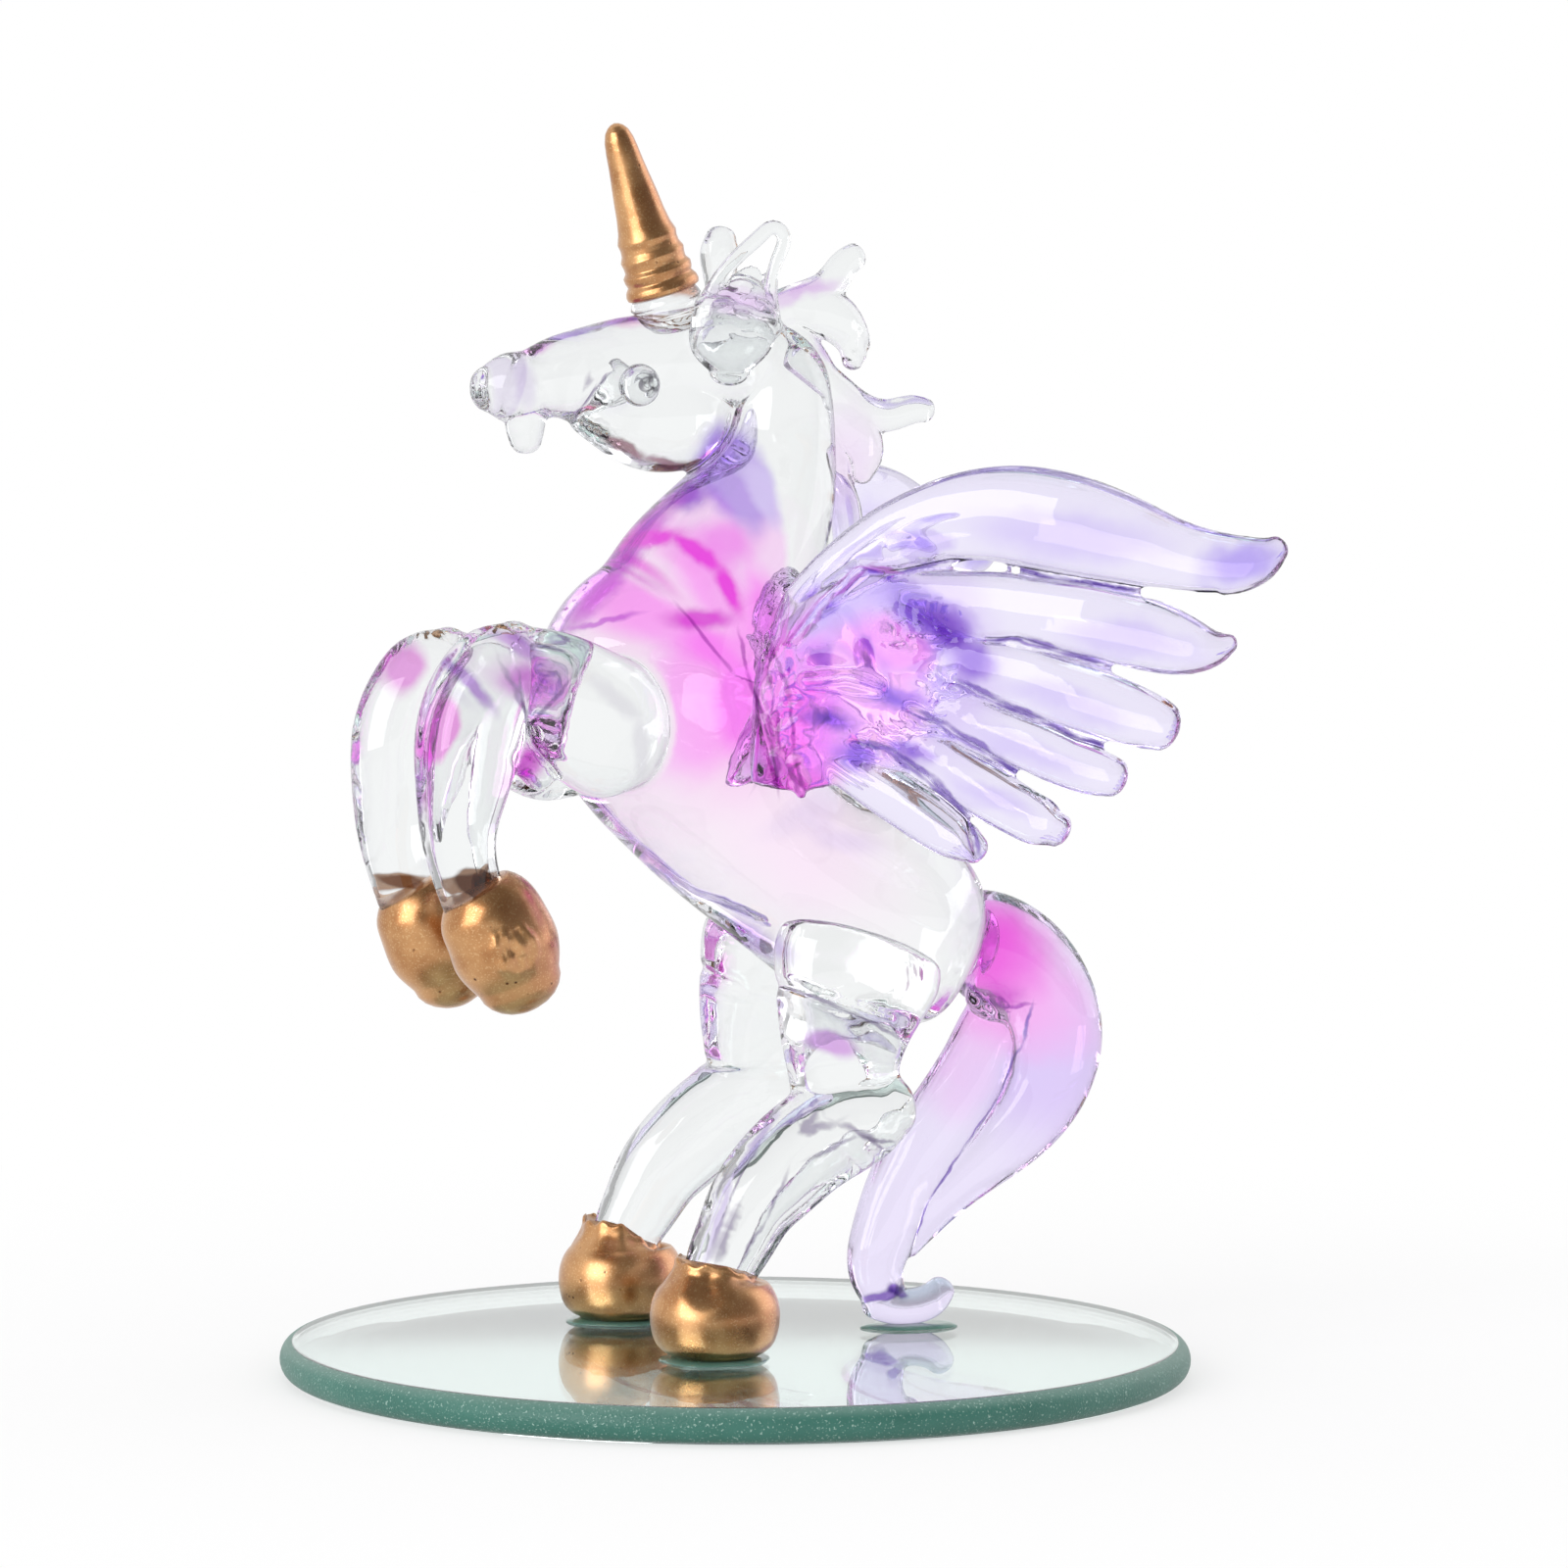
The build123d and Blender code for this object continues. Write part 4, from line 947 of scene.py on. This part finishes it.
# Hooves
# Balls of glass squeezed round the ends of the legs and painted with the same lacquer. The hind
# ones are squat and stand on flat soles; the fore ones hang tilted.
# rows of radius and height over the sole
hoof_profile = [
    (0.05, 0.0), (3.4, 0.0), (3.85, 0.25), (4.6, 0.9), (5.05, 2.0), (5.2, 3.3), (4.95, 4.8),
    (4.2, 6.0), (3.45, 6.6), (3.25, 6.9), (3.2, 7.2), (3.0, 7.4),
]
hind_centre = (-5.8, -11.0, 3.35)
# where the crease lies, as an angle about the hoof's middle
front_angle = 4.2
hoof_rings, hoof_ring = 90, 128


def hind_hoof(seed, collar):
    """The squat profile turned about the vertical.

    It is creased at the front, where the ball folds round the leg, and its upper edge rises and
    falls by about the collar's height.
    """
    profile = np.asarray(hoof_profile)
    none = np.zeros(len(profile))
    rows = through(np.stack([profile[:, 0], none, profile[:, 1], none], axis=1), hoof_rings)
    radius, height = np.clip(rows[:, :1], 0.05, None), rows[:, 2:3]
    angle = np.linspace(0, 2 * np.pi, hoof_ring, endpoint=False)
    crease = 0.15 * np.exp(-(((angle - front_angle + np.pi) % (2 * np.pi) - np.pi) / 0.26) ** 2)
    dip = np.exp(-(((height - 5.9) / 1.2) ** 2))
    reach = radius * (1 - crease * dip + 0.03 * np.cos(2 * angle) * (height > 0.3))
    ragged = -np.cos(angle) + 0.3 * np.sin(3 * angle + seed) + 0.15 * np.sin(11 * angle)
    rise = height + np.clip(height - 6.0, 0, 1) * collar * ragged
    points = np.stack([reach * np.cos(angle), reach * np.sin(angle), rise], axis=-1)
    return points.reshape(-1, 3) + hind_centre, grid_faces(hoof_rings, hoof_ring)


fore_hoof_rows = [
    (-25.3, -8.2, 41.6, 6.2), (-25.0, -8.2, 41.1, 7.2), (-23.8, -8.2, 38.9, 8.7),
    (-22.6, -8.2, 36.4, 8.8), (-21.7, -8.2, 34.3, 7.0),
]
fore_hoof_middle_x, fore_hoof_middle_z = -23.3, 37.6
scar_radius = 1.7


def fore_hoof(rows, scar=None):
    """A tilted ball with slow waves, raised along lines from its middle.

    A scar is where the rod was broken off: a ragged ring of glass with wrinkles inside it.
    """
    at, faces = gather(rows, 0.9, ring=120, dome=(0.1, 0.75))
    raised = 0.05 * waves(at, 4.0, 32)
    if scar:
        gone = np.linalg.norm(at - np.asarray(scar), axis=1)
        ragged = gone - scar_radius - 0.4 * waves(at, 1.8, 33)
        raised += np.exp(-((ragged / 0.35) ** 2)) * (0.20 + 0.20 * waves(at, 1.2, 34))
        raised += np.exp(-((gone / 1.5) ** 4)) * 0.30 * ridges(at, 1.5, 31)
    out = at - np.array([fore_hoof_middle_x, at[:, 1].mean(), fore_hoof_middle_z])
    out /= np.linalg.norm(out, axis=1)[:, None]
    return at + out * raised[:, None], faces


far_hoof_rows = lowered(fore_hoof_rows, right_foreleg_drop)
for hoof_name, (points, faces) in {
    "hind_left": hind_hoof(0.4, 0.7),
    "hind_right": other_side(hind_hoof(2.0, 1.2)),
    "fore_left": fore_hoof(fore_hoof_rows, (-23.3, -12.2, 37.2)),
    "fore_right": other_side(fore_hoof(far_hoof_rows)),
}.items():
    new_piece(
        f"hoof_ball_{hoof_name}", points, faces, gold, f"hoof_{hoof_name}", slot="gold_lacquer"
    )

# Wings
# Six fat feathers of pale violet glass, pressed hot into a thin palm whose pink and violet ran
# together in swirls. Both wings stand upright and sweep back from the shoulders.
wing_root = np.array([1.785, -5.5, 55.285])
wing_sweep = math.radians(35.0)
wing_out = np.array([math.cos(wing_sweep), -math.sin(wing_sweep), 0.0])
wing_across = np.array([-math.sin(wing_sweep), -math.cos(wing_sweep), 0.0])
# rows of out, up and width in the wing's plane
feather_rows = [
    [
        (-0.8, 3.8, 2.6), (0.8, 7.1, 4.0), (3.8, 10.5, 5.0), (7.6, 13.4, 5.8), (12.2, 15.5, 6.9),
        (17.6, 16.6, 8.0), (23.1, 16.0, 8.6), (29.0, 14.5, 7.4), (34.4, 13.1, 5.7),
        (38.6, 12.9, 4.6), (40.7, 13.7, 3.1), (41.4, 14.2, 2.2),
    ],
    [
        (9.4, 10.0, 3.6), (15.0, 9.4, 5.4), (20.4, 8.8, 6.3), (25.8, 8.1, 6.6), (31.2, 6.9, 5.9),
        (34.6, 6.1, 4.5), (36.9, 6.2, 2.5), (37.6, 6.5, 1.7),
    ],
    [
        (8.6, 5.8, 3.2), (13.6, 4.8, 4.8), (18.2, 3.8, 5.6), (22.9, 2.6, 5.9), (27.6, 1.1, 5.7),
        (30.6, 0.1, 5.0), (32.0, -0.4, 4.2),
    ],
    [
        (8.0, 2.8, 2.6), (12.5, 1.1, 3.8), (16.4, -0.4, 4.5), (20.4, -1.9, 4.7), (24.4, -3.3, 4.6),
        (26.9, -4.2, 4.1), (28.0, -4.6, 3.5),
    ],
    [
        (6.8, 0.8, 2.6), (10.5, -1.7, 3.8), (13.8, -3.8, 4.5), (17.1, -5.7, 4.8), (20.4, -7.5, 4.6),
        (22.5, -8.5, 4.0), (23.4, -9.0, 3.0),
    ],
    [
        (2.6, -2.6, 2.6), (5.6, -4.2, 3.6), (8.4, -5.8, 4.2), (11.1, -7.4, 4.4), (13.9, -9.1, 4.2),
        (15.7, -10.2, 3.4), (16.6, -10.8, 2.6),
    ],
]
palm_rows = [
    (-2.6, 0.0, 11.4), (0.0, 0.0, 12.9), (4.2, 2.1, 16.2), (8.0, 3.8, 17.8), (12.2, 5.5, 15.8),
    (15.6, 6.6, 10.6),
]
root_ridge_rows = [
    (-1.6, 6.8, 1.0), (-0.6, 3.6, 1.3), (0.3, 0.0, 1.4), (1.2, -3.6, 1.3), (1.8, -6.6, 1.0),
]
finger_rows = [(2.3, 2.9, 1.0), (4.5, 3.0, 1.4), (7.0, 2.9, 1.7), (8.9, 2.4, 1.2)]
chip_rows = [(9.6, 13.8, 1.4), (11.4, 14.2, 1.9), (13.0, 13.4, 1.4)]
feather_creases = [
    [(9.7, 11.9), (14.1, 13.0), (19.0, 12.4), (23.3, 11.5), (30.4, 10.5), (36.3, 10.4)],
    [(17.5, 6.4), (20.1, 6.7), (23.3, 5.7), (27.1, 4.7), (32.0, 2.6)],
    [(14.9, 3.0), (17.9, 1.6), (22.0, -0.1), (25.0, -1.5), (29.6, -2.6)],
    [(11.0, 0.6), (13.8, -0.6), (17.9, -3.0), (21.5, -5.3), (23.8, -7.4)],
    [(6.6, -2.0), (9.2, -2.7), (12.5, -4.9), (15.8, -8.1), (16.6, -11.2)],
]
leading_crease = [(1.1, 6.2), (3.3, 9.2), (6.9, 12.4), (9.7, 11.9)]


def in_wing(rows, proud=0.0):
    """Rows of out, up and width as points in space, which stand proud of the wing's plane."""
    rows = np.asarray(rows, float)
    level = wing_root + rows[:, :1] * wing_out + proud * wing_across
    return np.concatenate([level + rows[:, 1:2] * np.array([0, 0, 1]), rows[:, 2:]], axis=1)


def wing_relief(at):
    """Slow waves on the feathers, creases between them, broad folds in the palm, fine wrinkles."""
    out, up = (at - wing_root) @ wing_out, at[:, 2] - wing_root[2]
    flat_at = np.stack([out, 0 * out, up], axis=1)
    stirred_at = flat_at + 1.3 * waves(flat_at, 8.0, 41)[:, None]
    folds = near(flat_at, (7.0, 0, 3.0), (9.0, 1, 10.0)) * 0.30 * waves(stirred_at, 7.0, 42)
    root_and_edge = (
        near(flat_at, (0.3, 0, 0.0), (1.8, 1, 8.5)) * 0.20
        + near(flat_at, (13.5, 0, 1.5), (2.6, 1, 5.0)) * 0.14
    )
    between_feathers = (
        near(flat_at, (13.0, 0, 7.6), (4.2, 1, 2.4)) + near(flat_at, (9.0, 0, -2.0), (4.2, 1, 2.2))
    )
    wrinkles = root_and_edge * ridges(flat_at, 2.0, 43)
    grain = 0.09 * between_feathers * ridges(flat_at, 1.3, 45)
    creases = sum(beside(flat_at, crease, 0.45) for crease in [*feather_creases, leading_crease])
    return 0.05 * waves(at, 7.0, 44) + folds + wrinkles + grain - 0.28 * np.minimum(creases, 1)


wing_shells = [
    gather(
        in_wing(rows), 0.56, across=wing_across, grooves=[] if number else [(-20, 0.10, 9)], ring=56
    )
    for number, rows in enumerate(feather_rows)
]
wing_shells += [
    gather(in_wing(palm_rows), 0.17, across=wing_across, dome=(0.06, 0.5), ring=72),
    gather(in_wing(root_ridge_rows), 0.9, across=wing_across, ring=32),
    gather(in_wing(finger_rows, 1.5), 0.7, across=wing_across, ring=32),
    gather(in_wing(chip_rows, 1.6), 0.5, across=wing_across, ring=32),
]


def on_wing(out, up):
    """A place in the wing's plane, with Y taken as the distance from the middle plane."""
    place = wing_root + out * wing_out + np.array([0, 0, up])
    return (place[0], abs(place[1] - middle_y), place[2])


lavender = (238, 233, 252)
pale_violet = (220, 208, 251)
indigo = (104, 78, 168)
patch_depth = 6.0
# a line's y as the distance from the middle plane, and its half depth
line_depth = (9.0, 40.0)
wing_patches = [
    (colour, on_wing(*place), (half_out, patch_depth, half_up), turn, softness)
    for colour, place, (half_out, half_up), turn, softness in [
        ((222, 206, 250), (12.5, 4.5), (6.0, 8.0), -14, 0.4),
        ((250, 190, 247), (6.0, 2.5), (5.6, 7.0), -30, 0.35),
        ((251, 150, 246), (1.6, -0.5), (3.0, 8.5), 0, 0.35),
        ((250, 160, 246), (8.2, 6.2), (4.2, 2.2), 20, 0.35),
        ((212, 190, 248), (6.5, 9.8), (4.0, 2.0), -48, 0.45),
        (violet, (12.8, 8.0), (4.2, 1.7), 38, 0.4),
        (deep_violet, (13.4, 7.4), (2.4, 0.9), 38, 0.5),
        (violet, (16.6, 4.8), (1.3, 1.3), 30, 0.5),
        (deep_violet, (4.2, 0.0), (1.3, 0.9), 10, 0.5),
        (violet, (9.5, 1.6), (1.7, 0.7), 18, 0.5),
        (violet, (6.6, -3.1), (1.3, 1.4), 30, 0.5),
        (violet, (11.0, -2.8), (1.6, 0.6), 24, 0.5),
        ((196, 176, 244), (11.6, 14.3), (2.0, 0.9), 8, 0.25),
        (pale_violet, (24.0, 15.0), (8.5, 1.7), 6, 0.5),
        ((190, 172, 246), (38.4, 13.0), (2.6, 1.3), -10, 0.5),
        (pale_violet, (29.0, 6.6), (5.0, 1.2), 12, 0.5),
        (pale_violet, (24.0, 1.6), (4.6, 1.0), 20, 0.5),
        (pale_violet, (21.0, -2.8), (4.0, 0.9), 26, 0.5),
        (pale_violet, (17.6, -6.4), (3.4, 0.9), 32, 0.5),
        ((214, 196, 248), (3.8, 9.0), (1.0, 4.5), 40, 0.4),
    ]
]
# painted shade: dark indigo lines down the creases between the feathers, and a purple one down the
# leading crease
wing_lines = [
    (colour, [on_wing(*place)[::2] for place in crease], half_width, *line_depth)
    for colour, half_width, creases in (
        (indigo, 0.24, feather_creases), ((160, 70, 180), 0.20, [leading_crease])
    )
    for crease in creases
]
wing_lines += [(plum, seam_left, 0.22, *line_depth), (plum, seam_right, 0.18, *line_depth)]
wing_glass = glass(
    "violet_wing_glass", lavender, wing_patches, wing_lines, swirl=0.5, outline=(60, 42, 112),
    folded=True,
)
wing_shell = welded("wing", wing_shells, wing_relief, voxel=0.21, flow=11)
for side_name, (points, faces) in (("left", wing_shell), ("right", other_side(wing_shell))):
    feathers = [f"wing_feather_{number + 1}_{side_name}" for number in range(len(feather_rows))]
    new_piece(
        f"glass_wing_{side_name}", points, faces, wing_glass,
        f"wing_palm_{side_name}", *feathers, slot="wing_glass",
    )

# Tail
# Two strands of glass drawn together off the rump, hot pink where they are welded and lavender
# below. The inner one curls into a foot that stands in the glue on the mirror.
tail_outer_rows = [
    (21.2, 35.4, 9.2), (22.6, 35.2, 9.5), (24.0, 34.6, 9.6), (27.1, 31.7, 9.6), (28.7, 27.6, 9.2),
    (28.1, 23.2, 8.0), (25.4, 19.4, 6.5), (21.5, 16.2, 5.1), (18.3, 13.4, 4.1), (16.6, 11.3, 3.2),
    (15.7, 9.8, 2.2),
]
tail_inner_rows = [
    (23.3, 31.6, 3.0), (23.3, 29.6, 4.8), (22.2, 26.0, 6.0), (20.1, 22.4, 6.4), (17.5, 18.8, 6.4),
    (15.1, 15.0, 6.0), (13.5, 11.0, 5.6), (12.9, 7.8, 4.8), (13.7, 5.7, 3.8),
]
tail_foot_rows = [
    (12.9, 5.4, 3.2), (14.4, 4.9, 3.2), (16.4, 4.8, 3.1), (18.0, 5.3, 2.9), (18.9, 6.2, 2.4),
]
knot_rows = [(21.2, -0.6, 31.2, 2.4), (22.6, -1.0, 30.6, 3.0), (24.0, -0.6, 29.6, 2.4)]
# the height at which the foot is pressed flat, in the glue
tail_sole = 3.36
tail_shells = [
    gather(in_middle(tail_outer_rows), 0.8, dome=(0.1, 0.7), ring=64),
    gather(in_middle(tail_inner_rows), 0.85, ring=56),
    gather(in_middle(tail_foot_rows), 1.0, ring=36), gather(knot_rows, 0.8, ring=32),
]


def tail_relief(at):
    """Slow waves, and sharp wrinkles at the knot where the strands part."""
    knot = near(at, (22.6, -1.0, 30.8), 2.0) * 0.25 * ridges(at, 2.2, 52)
    return 0.05 * waves(at, 8.0, 51) + knot


tail_glass = glass("pink_to_lavender_glass", (236, 228, 252), [
    ((222, 204, 250), (28.0, 25.0), (6.5, 6.0), 0, 0.6),
    ((240, 206, 249), (20.6, 25.6), (2.6, 5.0), 30, 0.5),
    ((248, 176, 244), (23.0, 31.6), (8.5, 4.4), 25, 0.45),
    ((240, 96, 226), (22.5, 35.2), (5.6, 3.8), 20, 0.5),
    ((196, 70, 196), (22.8, 0.8, 31.2), (1.9, 5.0, 1.2), 10, 0.6),
    # painted shade: the dark indigo spot in the bend above the foot
    ((76, 44, 140), (14.0, 0.8, 6.2), (1.3, 7.0, 0.7), 0, 0.3),
], [
    ((150, 60, 170), [(20.0, 32.6), (21.4, 31.0), (23.0, 30.2), (25.4, 30.4)], 0.20),
    # painted shade: the indigo line down the gap between the two strands
    (indigo, [(25.6, 30.2), (25.2, 27.0), (23.6, 22.6), (20.2, 18.4), (17.0, 14.0), (15.8, 10.6)],
     0.16),
], outline=(72, 46, 118))
points, faces = welded("tail", tail_shells, tail_relief, voxel=0.22, flow=11)
points[:, 2] = np.maximum(points[:, 2], tail_sole)
new_piece(
    "glass_tail", points, faces, tail_glass, "tail_outer", "tail_inner", "tail_foot",
    slot="tail_glass",
)

# Adhesive
# Clear glue run out a little round both hind soles and the tail's foot. It shows the green of
# the plate under it.
glue = bpy.data.materials.new("glue")
mat = Recipe(glue)
drift = mat.noise(mat.object_place(), 400.0, 2.0)["Fac"]
shade = mat.mix(drift, tone(92, 150, 134), tone(150, 192, 180))
bump = mat.add("ShaderNodeBump", strength=0.3, distance=0.3 * mm, height=drift)
mat.finish(mat.add(
    "ShaderNodeBsdfPrincipled", base_color=shade, roughness=0.08, transmission_weight=0.6,
    ior=1.47, normal=bump.outputs[0],
))
# the bead's section: shares of its reach, and heights over the mirror
bead_shares = np.array([0.02, 0.7, 0.94, 1.0, 0.97, 0.86, 0.70, 0.02])
bead_heights = np.array([0.01, 0.01, 0.01, 0.05, 0.16, 0.30, 0.34, 0.34])
bead_ring = 96


def glue_pad(name, centre, half_x, half_y, node, seed):
    """A low bead with a rounded rim round a flat middle, whose outline wanders."""
    angle = np.linspace(0, 2 * np.pi, bead_ring, endpoint=False)
    outline = 1 + 0.05 * np.sin(2 * angle + seed) + 0.03 * np.sin(5 * angle + 2 * seed)
    reach = bead_shares[:, None] * outline
    x, y = half_x * reach * np.cos(angle), half_y * reach * np.sin(angle)
    points = np.stack([x, y, bead_heights[:, None] + 0 * reach], axis=-1).reshape(-1, 3)
    faces = grid_faces(len(bead_shares), bead_ring)
    new_piece(name, points + [*centre, mirror_top], faces, glue, node, slot="adhesive")


glue_pad("glue_hind_left", (-5.8, -11.0), 4.6, 4.5, "adhesive_hind_left", 0.3)
glue_pad("glue_hind_right", (-5.8, 12.6), 4.6, 4.5, "adhesive_hind_right", 1.7)
glue_pad("glue_tail", (16.0, 0.8), 4.2, 2.4, "adhesive_tail", 2.9)
